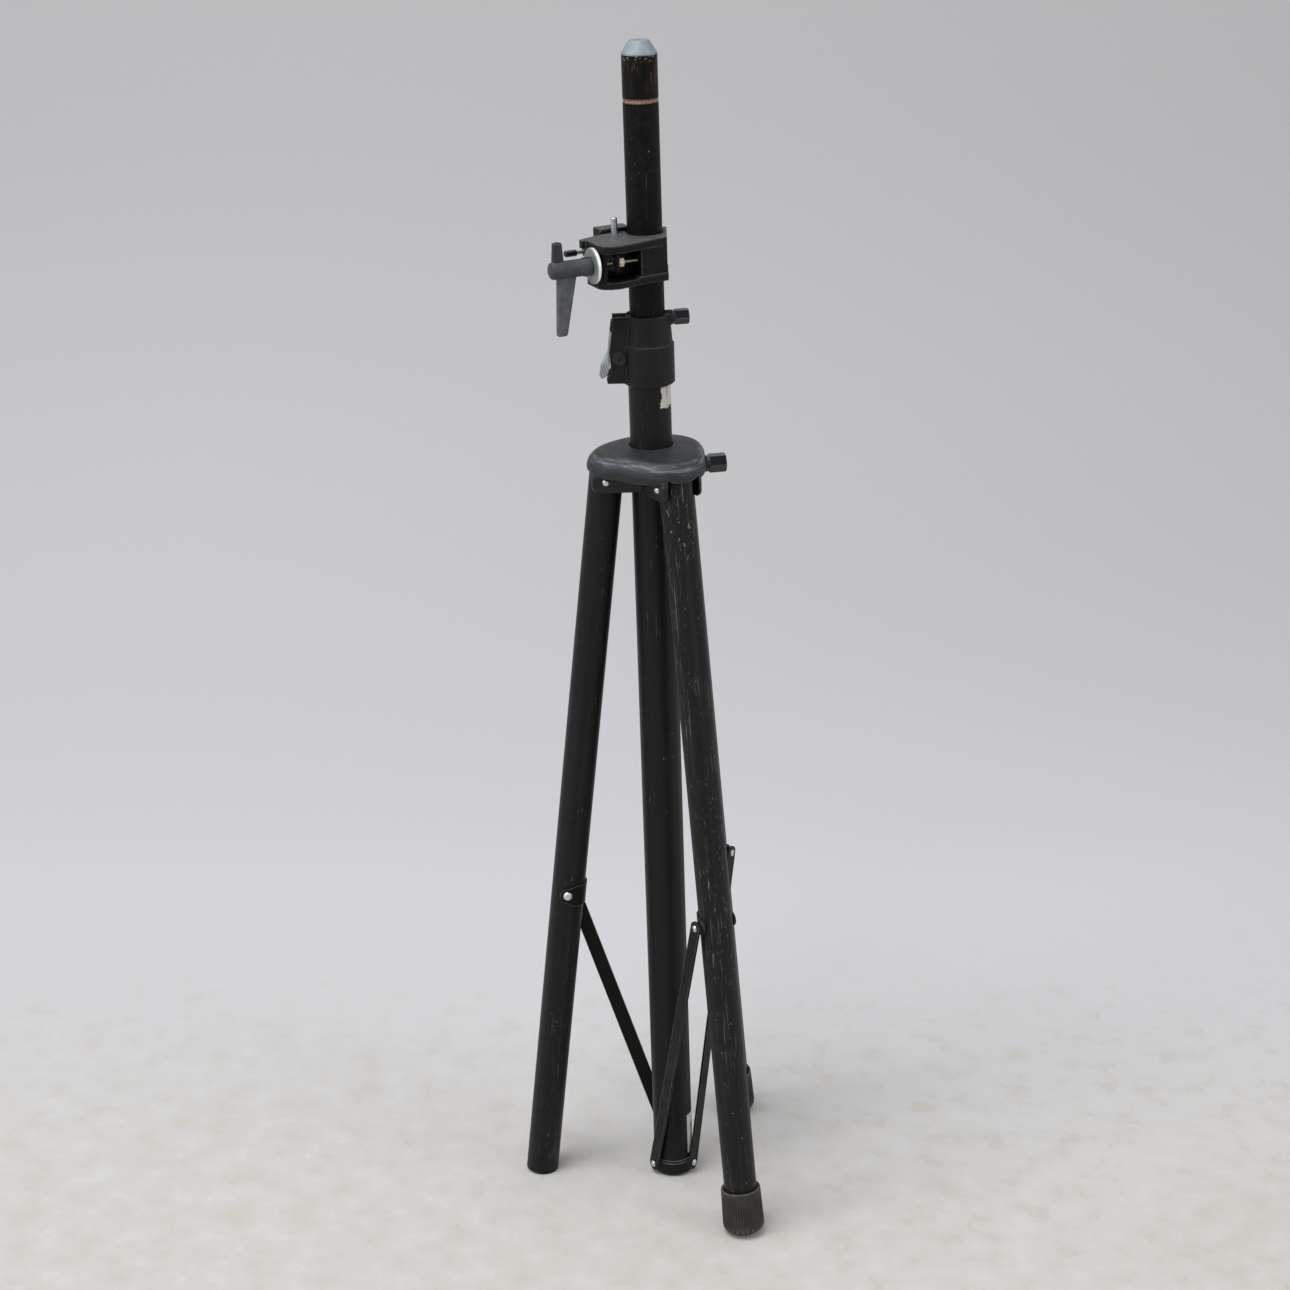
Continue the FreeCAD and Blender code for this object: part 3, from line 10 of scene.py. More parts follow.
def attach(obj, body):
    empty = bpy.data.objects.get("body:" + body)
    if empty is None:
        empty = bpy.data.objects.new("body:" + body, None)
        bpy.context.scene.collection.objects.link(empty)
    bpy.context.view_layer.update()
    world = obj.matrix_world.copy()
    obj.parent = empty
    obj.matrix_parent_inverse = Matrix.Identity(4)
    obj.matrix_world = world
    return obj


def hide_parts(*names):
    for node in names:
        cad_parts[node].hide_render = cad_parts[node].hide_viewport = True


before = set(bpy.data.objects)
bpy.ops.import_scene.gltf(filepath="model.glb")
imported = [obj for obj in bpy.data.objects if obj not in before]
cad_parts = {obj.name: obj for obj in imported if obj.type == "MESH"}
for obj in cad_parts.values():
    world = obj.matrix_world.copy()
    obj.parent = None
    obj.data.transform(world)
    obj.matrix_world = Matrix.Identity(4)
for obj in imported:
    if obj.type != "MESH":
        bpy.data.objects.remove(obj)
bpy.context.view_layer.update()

# ---- camera ---------------------------------------------------------------------------------
# A standing person's view of the whole stand from about two and a half metres in front of it,
# looking down through a long lens.


def add_to_scene(name, data):
    """A new object of this mesh, camera or lamp, put into the scene."""
    made = bpy.data.objects.new(name, data)
    bpy.context.scene.collection.objects.link(made)
    return made


camera_data = bpy.data.cameras.new("camera")
camera_data.lens = 75.07
camera_data.sensor_width = 36.0
camera = add_to_scene("camera", camera_data)
camera_looks_down, camera_heading = 20.955, -0.27
camera.location = (-0.01022, -2.6046, 1.62265)
camera.rotation_euler = (radians(90.0 - camera_looks_down), 0.0, radians(camera_heading))
bpy.context.scene.camera = camera

# ---- studio ---------------------------------------------------------------------------------
# A paper sweep: a pale floor, slightly warm and scuffed, that curves up behind the stand into a
# cooler grey backdrop, under large soft lamps. Its colour is graded lighter and darker from side to
# side and from near to far, and darker up the backdrop: painted light falloff. From behind, the
# camera sees through the sheet.


class Wire:
    """One value in a material. Arithmetic adds Math nodes, and node() adds any other node."""

    def __init__(self, tree, socket=None):
        self.tree = tree
        self.socket = socket

    def node(self, kind, settings=None, inputs=None, out=0):
        made = self.tree.nodes.new("ShaderNode" + kind)
        for name, value in (settings or {}).items():
            if name == "stops":
                ramp = made.color_ramp
                while len(ramp.elements) < len(value):
                    ramp.elements.new(1.0)
                for element, (place, colour) in zip(ramp.elements, value):
                    element.position = place
                    element.color = (*colour, 1.0)
            else:
                setattr(made, name, value)
        for name, value in (inputs or {}).items():
            if isinstance(value, Wire):
                self.tree.links.new(value.socket, made.inputs[name])
            else:
                made.inputs[name].default_value = value
        return Wire(self.tree, made.outputs[out])

    def math(self, operation, first, second=0.0):
        return self.node("Math", {"operation": operation}, {0: first, 1: second})

    def __add__(self, other):
        return self.math("ADD", self, other)

    def __mul__(self, other):
        return self.math("MULTIPLY", self, other)

    def __sub__(self, other):
        return self.math("SUBTRACT", self, other)

    def __rsub__(self, other):
        return self.math("SUBTRACT", other, self)

    __radd__ = __add__
    __rmul__ = __mul__

    def rise(self, start, end):
        """0 below start, 1 above end, smooth between; the other way round where end is lower."""
        return self.node("MapRange", {"interpolation_type": "SMOOTHSTEP"},
                         {"Value": self, "From Min": start, "From Max": end})

    def tint(self, below, above):
        """Colour from below to above as this value goes from 0 to 1."""
        return self.node("Mix", {"data_type": "RGBA"},
                         {"Factor": self, 6: below if isinstance(below, Wire) else (*below, 1.0),
                          7: above if isinstance(above, Wire) else (*above, 1.0)}, out=2)


def new_material(name):
    """A material, a wire to add its nodes from, the shaded point, and its Principled shader."""
    material = bpy.data.materials.new(name)
    material.use_nodes = True
    tree = material.node_tree
    wire = Wire(tree)
    return material, wire, wire.node("TexCoord", out=3), tree.nodes["Principled BSDF"]


def plug(shader, **inputs):
    """Set or link the shader's sockets; underscores stand for spaces."""
    for name, value in inputs.items():
        socket = shader.inputs[name.replace("_", " ")]
        if isinstance(value, Wire):
            value.tree.links.new(value.socket, socket)
        else:
            socket.default_value = value


def noise(wire, place, scale, detail=2.0, roughness=0.5):
    """Soft random patches from 0 to 1, about one to each 1/scale of the place."""
    return wire.node("TexNoise", None, {"Vector": place, "Scale": scale, "Detail": detail,
                                        "Roughness": roughness})


sweep_half_width, sweep_front, sweep_height = 3.2, -4.0, 4.2
sweep_bend, sweep_radius, bend_steps = 0.9, 1.3, 24
bend_angles = [pi / 2 * i / bend_steps for i in range(bend_steps + 1)]
sweep_line = [(sweep_front, 0.0), (0.0, 0.0)]
sweep_line += [(sweep_bend + sweep_radius * sin(a), sweep_radius * (1 - cos(a)))
               for a in bend_angles]
sweep_line.append((sweep_bend + sweep_radius, sweep_height))
sweep_sides = (-sweep_half_width, sweep_half_width)
sweep_points = [(x, y, z) for y, z in sweep_line for x in sweep_sides]
sweep_faces = [(2 * i, 2 * i + 1, 2 * i + 3, 2 * i + 2) for i in range(len(sweep_line) - 1)]
sweep_mesh = bpy.data.meshes.new("sweep")
sweep_mesh.from_pydata(sweep_points, [], sweep_faces)
sweep_mesh.polygons.foreach_set("use_smooth", [True] * len(sweep_mesh.polygons))
sweep = add_to_scene("sweep", sweep_mesh)

paper, wire, place, shader = new_material("sweep_paper")
side, depth, height = (wire.node("SeparateXYZ", None, {"Vector": place}, out=i) for i in range(3))
# Side-to-side, near-to-far and high-wall colours: painted light falloff across the paper.
near_left, near_right = (0.584, 0.574, 0.552), (0.64, 0.63, 0.612)
far_left, far_right = (0.652, 0.653, 0.683), (0.676, 0.677, 0.708)
wall_left, wall_right, wall_top_shade = (0.587, 0.59, 0.61), (0.56, 0.556, 0.575), (0.515, 0.513, 0.525)
scuff_tan, blotch_tan, far_tan = (0.58, 0.55, 0.505), (0.56, 0.515, 0.455), (0.6, 0.56, 0.5)
chalk = (0.67, 0.67, 0.67)
to_right = side.rise(-0.9, 0.9)
scuffs = noise(wire, place, 2.2, 6.0, 0.6).rise(0.42, 0.72)
near_floor = to_right.tint(near_left, near_right)
near_floor = (scuffs * 0.5).tint(near_floor, scuff_tan)
blotches = noise(wire, place, 26.0, 6.0, 0.62)
near_floor = (blotches.rise(0.5, 0.68) * 0.6).tint(near_floor, blotch_tan)
near_floor = (blotches.rise(0.5, 0.34) * 0.45).tint(near_floor, chalk)
far_floor = to_right.tint(far_left, far_right)
far_floor = (blotches.rise(0.52, 0.68) * depth.rise(0.6, 0.1) * 0.5).tint(far_floor, far_tan)
lower_wall = to_right.tint(wall_left, wall_right)
# Blend near to far, onto the wall and darker up it: painted light falloff.
colour = depth.rise(-0.2, 0.7).tint(near_floor, far_floor)
colour = depth.rise(0.7, 1.7).tint(colour, lower_wall)
colour = height.rise(0.1, 0.9).tint(colour, wall_top_shade)
plug(shader, Base_Color=colour, Roughness=0.9, Specular_IOR_Level=0.1)
turned_away, camera_ray = wire.node("NewGeometry", out=6), wire.node("LightPath", out=0)
opaque, see_through = Wire(wire.tree, shader.outputs[0]), wire.node("BsdfTransparent")
one_sided = wire.node("MixShader", None, {0: turned_away * camera_ray, 1: opaque, 2: see_through})
wire.tree.links.new(one_sided.socket, wire.tree.nodes["Material Output"].inputs["Surface"])
sweep_mesh.materials.append(paper)

world = bpy.data.worlds.new("studio")
world.use_nodes = True
background = world.node_tree.nodes["Background"]
background.inputs["Color"].default_value = (1.0, 1.0, 1.0, 1.0)
background.inputs["Strength"].default_value = 0.55
bpy.context.scene.world = world

for lamp_name, lamp_place, lamp_aim, lamp_size, lamp_power in (
        ("top_lamp", (-0.9, -0.8, 3.4), (0.0, 0.1, 0.6), 1.8, 62.0),
        ("left_lamp", (-2.4, -1.4, 1.9), (0.0, 0.0, 0.8), 1.2, 16.0),
        ("right_lamp", (2.4, -1.2, 2.1), (0.0, 0.0, 0.8), 1.2, 14.0)):
    lamp_data = bpy.data.lights.new(lamp_name, "AREA")
    lamp_data.size = lamp_size
    lamp_data.energy = lamp_power
    lamp = add_to_scene(lamp_name, lamp_data)
    lamp.location = lamp_place
    towards = Vector(lamp_aim) - Vector(lamp_place)
    lamp.rotation_euler = towards.to_track_quat("-Z", "Y").to_euler()

# ---- tubes ----------------------------------------------------------------------------------
# Three legs, the lower mast and the upper tube: drawn steel tube in satin black paint, scratched
# along its length to tan primer and bare steel by folding and packing. Under the collar are the
# pale scraps of a sticker.


def node_points(node):
    """The corner points of a carried-over node's mesh."""
    return np.array([v.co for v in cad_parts[node].data.vertices], float)


def axis_line(node, towards):
    """Ends of a straight round node and its direction, which points this way."""
    end_depth = 0.0006
    points = node_points(node)
    direction = np.linalg.svd(points - points.mean(0), full_matrices=False)[2][0]
    direction *= 1.0 if direction @ np.array(towards) > 0 else -1.0
    along = points @ direction
    ends = []
    for ring in (points[along < along.min() + end_depth], points[along > along.max() - end_depth]):
        across = ring - np.outer(ring @ direction, direction)
        middle = (across.min(0) + across.max(0)) / 2
        ends.append(Vector(middle + direction * (ring @ direction).mean()))
    return ends[0], ends[1], Vector(direction).normalized()


def side_directions(direction):
    """Two directions square to this one; the first lies level."""
    level = direction.cross(Vector((0.0, 0.0, 1.0)))
    level = level.normalized() if level.length > 0.001 else Vector((1.0, 0.0, 0.0))
    return level, direction.cross(level)


def dot(wire, place, direction, origin=(0.0, 0.0, 0.0)):
    """Distance of the shaded point from the origin, along a direction."""
    offset = wire.node("VectorMath", {"operation": "SUBTRACT"}, {0: place, 1: tuple(origin)})
    return wire.node("VectorMath", {"operation": "DOT_PRODUCT"},
                     {0: offset, 1: tuple(direction)}, out=1)


def off_axis(wire, place, point, axis):
    """Distance of the shaded point from a line."""
    offset = wire.node("VectorMath", {"operation": "SUBTRACT"}, {0: place, 1: tuple(point)})
    across = wire.node("VectorMath", {"operation": "CROSS_PRODUCT"}, {0: offset, 1: tuple(axis)})
    return wire.node("VectorMath", {"operation": "LENGTH"}, {0: across}, out=1)


def bumped(wire, strength, distance, height, normal=None):
    """The surface's normal, tilted as if this height stood on it."""
    inputs = {"Strength": strength, "Distance": distance, "Height": height}
    if normal:
        inputs["Normal"] = normal
    return wire.node("Bump", None, inputs)


def drawn_noise(wire, place, direction, origin, across, along, detail, roughness):
    """Noise with one scale across a tube and another along it, from this origin."""
    level, other = side_directions(direction)
    drawn = wire.node("CombineXYZ", None, {0: dot(wire, place, level, origin) * across,
                                           1: dot(wire, place, other, origin) * across,
                                           2: dot(wire, place, direction, origin) * along})
    return noise(wire, drawn, 1.0, detail, roughness)


black_paint = (0.0036, 0.0045, 0.0053)
rubbed_paint = (0.0150, 0.0152, 0.0158)
pale_scratch = (0.15, 0.145, 0.135)
tan_scuff = (0.13, 0.103, 0.08)
dull_brown = (0.0082, 0.0073, 0.0064)
white_nick = (0.21, 0.21, 0.205)
inner_tube_paint = (0.0021, 0.0021, 0.0019)


def dress(material, *nodes):
    """Give carried-over nodes this finish."""
    for name in nodes:
        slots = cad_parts[name].data.materials
        slots.clear()
        slots.append(material)


def tube_paint(node, wear, base, gloss, marks=None):
    """Scratched satin paint along one tube. wear is 0 to 1; marks adds a tube's own wear.

    Each mark adds its colour, and its share of bare metal, which is rougher and lies lower.
    """
    _, high, direction = axis_line(node, (0.0, 0.0, 1.0))
    material, wire, place, shader = new_material("paint_" + node)
    long_lines = drawn_noise(wire, place, direction, high, 900.0, 22.0, 3.0, 0.6)
    short_lines = drawn_noise(wire, place, direction, high, 520.0, 110.0, 2.0, 0.5)
    region = drawn_noise(wire, place, direction, high, 30.0, 7.0, 3.0, 0.6)
    mottle = noise(wire, place, 130.0, 4.0, 0.6)
    scratches = long_lines.rise(0.66 - 0.08 * wear, 0.76 - 0.06 * wear) * region.rise(0.42, 0.6)
    flakes = short_lines.rise(0.72 - 0.06 * wear, 0.79 - 0.05 * wear) * region.rise(0.48, 0.62)
    bands = drawn_noise(wire, place, direction, high, 150.0, 2.5, 3.0, 0.6)
    colour = (bands.rise(0.45, 0.7) * (0.15 + 0.6 * wear)).tint(base, rubbed_paint)
    colour = (mottle.rise(0.35, 0.75) * region.rise(0.3, 0.7)).tint(colour, dull_brown)
    colour = (scratches * (0.4 + 0.5 * wear)).tint(colour, pale_scratch)
    colour = (flakes * (0.2 + 0.7 * wear)).tint(colour, tan_scuff)
    specks = drawn_noise(wire, place, direction, high, 560.0, 230.0, 1.0, 0.4)
    nicks = noise(wire, place, 34.0).rise(0.60 - 0.12 * wear, 0.66 - 0.12 * wear)
    nicks = specks.rise(0.70, 0.76) * nicks
    colour = (nicks * (0.3 + 0.3 * wear)).tint(colour, white_nick)
    bare = scratches * 0.4 + flakes + nicks * 0.5
    if marks:
        colour, bare = marks(wire, place, direction, high, colour, bare)
    grain = drawn_noise(wire, place, direction, high, 700.0, 60.0, 3.0, 0.5)
    bump = bumped(wire, 0.12, 0.0004, grain - bare * 0.8)
    plug(shader, Base_Color=colour, Roughness=0.36 + mottle * 0.16 + bare * 0.12, Normal=bump,
         Specular_IOR_Level=gloss)
    dress(material, node)


def upper_tube_marks(wire, place, direction, high, colour, bare):
    """A band rubbed through to primer near the top, and scuffs where loads were slid on."""
    primer, pale_primer, rust = (0.15, 0.098, 0.07), (0.33, 0.25, 0.19), (0.115, 0.062, 0.05)
    rubbed_rim, chalk_speck = (0.25, 0.2, 0.165), (0.3, 0.3, 0.29)
    below_top = dot(wire, place, direction * -1.0, high)
    ragged = noise(wire, place, 420.0, 3.0, 0.6)
    ring = below_top.rise(0.0408, 0.0416) * below_top.rise(0.0460, 0.0450) * ragged.rise(0.26, 0.38)
    colour = ring.tint(colour, primer)
    pale_ring = below_top.rise(0.0422, 0.0430) * below_top.rise(0.0452, 0.0446)
    colour = (pale_ring * ragged.rise(0.38, 0.56) * 0.7).tint(colour, pale_primer)
    streaks = drawn_noise(wire, place, direction, high, 330.0, 40.0, 2.0, 0.5)
    streaks = streaks.rise(0.58, 0.66) * below_top.rise(0.040, 0.012) * below_top.rise(0.002, 0.010)
    colour = (streaks * 0.8).tint(colour, rust)
    scuffs = drawn_noise(wire, place, direction, high, 240.0, 420.0, 3.0, 0.65)
    scuffs = scuffs.rise(0.52, 0.62) * below_top.rise(0.0075, 0.001)
    colour = (scuffs * 0.85).tint(colour, rubbed_rim)
    specks = noise(wire, place, 470.0, 1.0, 0.4).rise(0.745, 0.78)
    specks = specks * below_top.rise(0.085, 0.095) * below_top.rise(0.125, 0.115)
    colour = specks.tint(colour, chalk_speck)
    return colour, bare + ring * 0.5 + streaks * 0.5 + scuffs


def lower_tube_marks(wire, place, direction, high, colour, bare):
    """The pale remains of a sticker under the collar, scraped to ragged scraps."""
    sticker_side, sticker_white = radians(-21.0), (0.56, 0.53, 0.49)
    towards = Vector((cos(sticker_side), sin(sticker_side), 0.0))
    below_top = dot(wire, place, direction * -1.0, high)
    out = dot(wire, place, towards, high)
    torn = noise(wire, place, 130.0, 4.0, 0.65)
    tears = drawn_noise(wire, place, direction, high, 260.0, 45.0, 2.0, 0.5)
    tears = tears.rise(0.67, 0.64)
    patch = below_top.rise(0.046, 0.0465) * (below_top + torn * 0.014).rise(0.0755, 0.0745)
    patch = patch * (out + torn * 0.011).rise(0.0236, 0.0240) * tears
    return patch.tint(colour, sticker_white), bare + patch * 0.3


def leg_top_marks(wire, place, direction, high, colour, bare):
    """Tan chips where the leg knocks on the crown, and pale scrapes round its brace strap."""
    chipped_tan = (0.21, 0.155, 0.115)
    below_top = dot(wire, place, direction * -1.0, high)
    chips = drawn_noise(wire, place, direction, high, 190.0, 110.0, 2.0, 0.55)
    chips = chips.rise(0.655, 0.69) * below_top.rise(0.10, 0.05)
    colour = (chips * 0.9).tint(colour, chipped_tan)
    scrapes = drawn_noise(wire, place, direction, high, 430.0, 62.0, 2.0, 0.55)
    scrapes = scrapes.rise(0.62, 0.70) * below_top.rise(0.30, 0.42) * below_top.rise(0.56, 0.48)
    scrapes = scrapes * noise(wire, place, 45.0).rise(0.42, 0.56)
    return (scrapes * 0.6).tint(colour, white_nick), bare + chips + scrapes


tube_paint("leg_tube_left", 0.5, black_paint, 0.22)
tube_paint("leg_tube_front", 1.0, black_paint, 0.24, leg_top_marks)
tube_paint("leg_tube_rear", 0.6, black_paint, 0.22)
tube_paint("lower_tube", 0.2, black_paint, 0.22, lower_tube_marks)
tube_paint("upper_tube", 0.0, inner_tube_paint, 0.12, upper_tube_marks)

# ---- braces and straps ----------------------------------------------------------------------
# Flat steel bars and bent strip, painted black with the tubes and riveted to the legs. They knock
# together when the stand folds, so their edges are chipped and their faces dull and brownish. All
# their edges also carry a painted highlight.


def worn_and_glinting_edges(wire, radius):
    """1 on edges, where the surface turns within this distance, which callers pale as wear and as
    painted highlight; and the rounded normal.
    """
    rounded = wire.node("Bevel", {"samples": 6}, {"Radius": radius})
    true_normal = wire.node("NewGeometry", out=1)
    agreement = wire.node("VectorMath", {"operation": "DOT_PRODUCT"},
                          {0: rounded, 1: true_normal}, out=1)
    return (1.0 - agreement).rise(0.02, 0.16), rounded


def strip_paint():
    """Dusty black paint with chipped edges, and a painted highlight along every edge."""
    fresh, dusty = (0.0034, 0.0033, 0.003), (0.0115, 0.0098, 0.0082)
    rusty, bare_steel_and_glint = (0.026, 0.019, 0.014), (0.2, 0.205, 0.21)
    material, wire, place, shader = new_material("strip_paint")
    edges, rounded = worn_and_glinting_edges(wire, 0.0015)
    patches = noise(wire, place, 160.0, 4.0, 0.6)
    chips = edges * patches.rise(0.5, 0.6)
    dust = noise(wire, place, 24.0, 4.0, 0.6).rise(0.45, 0.75)
    rubbed = noise(wire, place, 60.0, 5.0, 0.65).rise(0.56, 0.7)
    colour = (dust * 0.5).tint(fresh, dusty)
    colour = (rubbed * 0.5).tint(colour, rusty)
    # All edges paled as painted highlight; the chips on them are bare steel.
    colour = (edges * 0.55 + chips * 0.45).tint(colour, bare_steel_and_glint)
    bump = bumped(wire, 0.15, 0.0004, patches, rounded)
    plug(shader, Base_Color=colour, Roughness=0.36 + dust * 0.2, Normal=bump,
         Specular_IOR_Level=0.13)
    return material


legs = ("left", "front", "rear")
black_strip = strip_paint()
for leg in legs:
    dress(black_strip, "brace_bar_" + leg, "leg_strap_" + leg)

# ---- rivets, pins and screws ----------------------------------------------------------------
# Plated steel, turned or cold headed, with a little dirt round each head: the rivets on every
# pivot, hollow where the front and rear braces meet their legs, where the shade inside is painted
# as a dark dot; the lock screws and the camera stud. The lever's spring is plain, and the collar's
# bolt and nut are blackened.


def plated_steel(name, base, roughness, core=None):
    """Grimy plated steel; core is a point and an axis round which a dark dot is painted as the
    shade inside a hollow rivet.
    """
    core_radius, hole_shade = 0.0014, (0.02, 0.018, 0.016)
    material, wire, place, shader = new_material(name)
    cloud = noise(wire, place, 700.0, 4.0, 0.6)
    grime = noise(wire, place, 240.0, 3.0, 0.6).rise(0.5, 0.7)
    dark = tuple(0.45 * c for c in base)
    bump = bumped(wire, 0.1, 0.0002, cloud)
    colour = (grime * 0.5 + cloud * 0.2).tint(base, dark)
    if core:
        # A dark dot round the axis: painted shade inside a hollow rivet.
        inside = off_axis(wire, place, *core).rise(core_radius + 0.0003, core_radius - 0.0003)
        colour = inside.tint(colour, hole_shade)
    plug(shader, Base_Color=colour, Roughness=roughness + grime * 0.2 + cloud * 0.06, Metallic=1.0,
         Normal=bump)
    return material


bright_steel = plated_steel("bright_steel", (0.74, 0.74, 0.72), 0.26)
for leg in legs:
    dress(bright_steel, "leg_pivot_pin_" + leg, "hub_rivet_" + leg)
dress(bright_steel, "brace_pin_left", "crown_lock_screw", "collar_lock_screw", "lever_screw")
dress(plated_steel("zinc_plate", (0.62, 0.67, 0.67), 0.34), "camera_stud", "side_lock_screw")
for leg in ("front", "rear"):
    pin, _, pin_axis = axis_line("brace_pin_" + leg, (1.0, 0.0, 0.0))
    painted_hollow_rivet = plated_steel("hollow_rivet_" + leg, (0.7, 0.7, 0.68), 0.28, core=(pin, pin_axis))
    dress(painted_hollow_rivet, "brace_pin_" + leg)
dress(plated_steel("spring_steel", (0.4, 0.4, 0.41), 0.35), "lever_spring")
dress(plated_steel("black_oxide", (0.055, 0.056, 0.058), 0.4), "collar_bolt", "collar_nut")

# ---- zinc pieces ----------------------------------------------------------------------------
# The cast cap in the top of the tube, the clamp's thick washer and the collar's cam lever: blue-
# grey zinc, dull where handled, with faint spangle, and a painted highlight on edges and on the
# washer's rim. The lever's hub is painted near-black round its pin, and the ribs at the end of its
# tab, ribbed for the thumb, are drawn as dark lines of painted shade in their grooves.


def flat_axis(node):
    """Direction square to a flat round node."""
    points = node_points(node)
    return Vector(np.linalg.svd(points - points.mean(0), full_matrices=False)[2][2])


def zinc(name, base, roughness, shine, edge_glint, rim_of=None, dark_hub=None):
    """Zinc with a painted highlight on its edges; rim_of names a disc whose rim gets a painted
    highlight too, and greased is a lever's pin, its axis and how far round it the lever is painted
    near-black, with ribs beyond drawn as dark lines, painted shade in their grooves."""
    groove_shade, hub_black, painted_rim_highlight = (0.10, 0.105, 0.105), (0.006, 0.0055, 0.005), (0.95, 0.96, 0.96)
    painted_edge_glint, ribs_across, rib_rate = (0.86, 0.88, 0.89), (1.0, 0.0, 0.35), 2300.0
    material, wire, place, shader = new_material(name)
    spangle = wire.node("TexVoronoi", {"feature": "F1"}, {"Vector": place, "Scale": 420.0}, out=1)
    tone = wire.node("SeparateColor", None, {"Color": spangle})
    dull = noise(wire, place, 90.0, 5.0, 0.65)
    low = tuple(0.62 * c for c in base)
    edges, rounded = worn_and_glinting_edges(wire, 0.0006)
    colour = (dull.rise(0.3, 0.75) * 0.7 + tone * 0.15).tint(base, low)
    bump = bumped(wire, 0.12, 0.0003, dull, rounded)
    if dark_hub:
        pin, pin_axis, reach = dark_hub
        off_pin = off_axis(wire, place, pin, pin_axis)
        # Ribs at the tab's end drawn as dark stripes: painted shade in grooves.
        ribs = wire.math("SINE", dot(wire, place, ribs_across) * rib_rate).rise(-0.1, 0.8)
        ribs = ribs * off_pin.rise(0.040, 0.045)
        colour = (ribs * 0.8).tint(colour, groove_shade)
        # Near-black round the pin, over the lever's hub.
        colour = off_pin.rise(reach, reach - 0.0008).tint(colour, hub_black)
    if rim_of:
        disc_axis = flat_axis(rim_of)
        facing = wire.math("ABSOLUTE", dot(wire, wire.node("NewGeometry", out=1), disc_axis))
        # The disc's rim paled to near white: painted highlight.
        colour = (facing.rise(0.6, 0.3) * 0.95).tint(colour, painted_rim_highlight)
    # Edges paled: painted glint.
    plug(shader, Base_Color=(edges * edge_glint).tint(colour, painted_edge_glint),
         Roughness=roughness + dull * 0.2, Metallic=shine, Normal=bump)
    return material


dress(zinc("cast_zinc", (0.27, 0.32, 0.355), 0.5, 0.25, 0.15), "top_cap")
dress(zinc("plated_washer", (0.27, 0.31, 0.31), 0.34, 0.4, 0.9, rim_of="spindle_washer"),
      "spindle_washer")
cam_pin, _, cam_pin_axis = axis_line("cam_pin", (1.0, 0.0, 0.0))
dress(zinc("plated_lever", (0.52, 0.57, 0.58), 0.4, 0.5, 0.4,
           dark_hub=(cam_pin, cam_pin_axis, 0.0115)), "cam_lever")

# ---- castings -------------------------------------------------------------------------------
# The crown, the locking collar, the clamp's body and its jaw: aluminium castings in dark blue-
# grey satin paint with a faint orange peel, scraped and rubbed pale on corners, with painted
# highlights on edges, shoulders and top faces, painted shade on the crown's sides, and painted
# black shade in recesses, under the crown's rim and in the clamp's window. A low rib, rounded like
# a bead, is cast along the clamp's front below its window.


def softened(node, piece_name, width, material):
    """A copy of a node's shape with its sharp edges rounded as a casting's are."""
    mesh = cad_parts[node].data.copy()
    mesh.name = piece_name
    shape = bmesh.new()
    shape.from_mesh(mesh)
    bmesh.ops.remove_doubles(shape, verts=shape.verts, dist=0.00001)
    bmesh.ops.dissolve_limit(shape, angle_limit=radians(1.0), verts=shape.verts, edges=shape.edges)
    shape.to_mesh(mesh)
    shape.free()
    piece = add_to_scene(piece_name, mesh)
    bevel = piece.modifiers.new("round", "BEVEL")
    bevel.width = width
    bevel.segments = 3
    bevel.limit_method = "ANGLE"
    bevel.angle_limit = radians(35.0)
    bevel.miter_outer = "MITER_ARC"
    bevel.harden_normals = False
    bake_modifiers(piece)
    smooth_by_angle(piece.data, 40.0)
    piece.data.materials.clear()
    piece.data.materials.append(material)
    return piece


def bake_modifiers(piece):
    """Turn a piece's modifiers into its mesh."""
    bpy.context.view_layer.update()
    evaluated = piece.evaluated_get(bpy.context.evaluated_depsgraph_get())
    finished = bpy.data.meshes.new_from_object(evaluated)
    piece.modifiers.clear()
    piece.data = finished


def smooth_by_angle(mesh, limit):
    """Smooth shading, with edges sharper than this many degrees kept crisp."""
    shape = bmesh.new()
    shape.from_mesh(mesh)
    for face in shape.faces:
        face.smooth = True
    for edge in shape.edges:
        edge.smooth = edge.is_manifold and edge.calc_face_angle(0.0) < radians(limit)
    shape.to_mesh(mesh)
    shape.free()


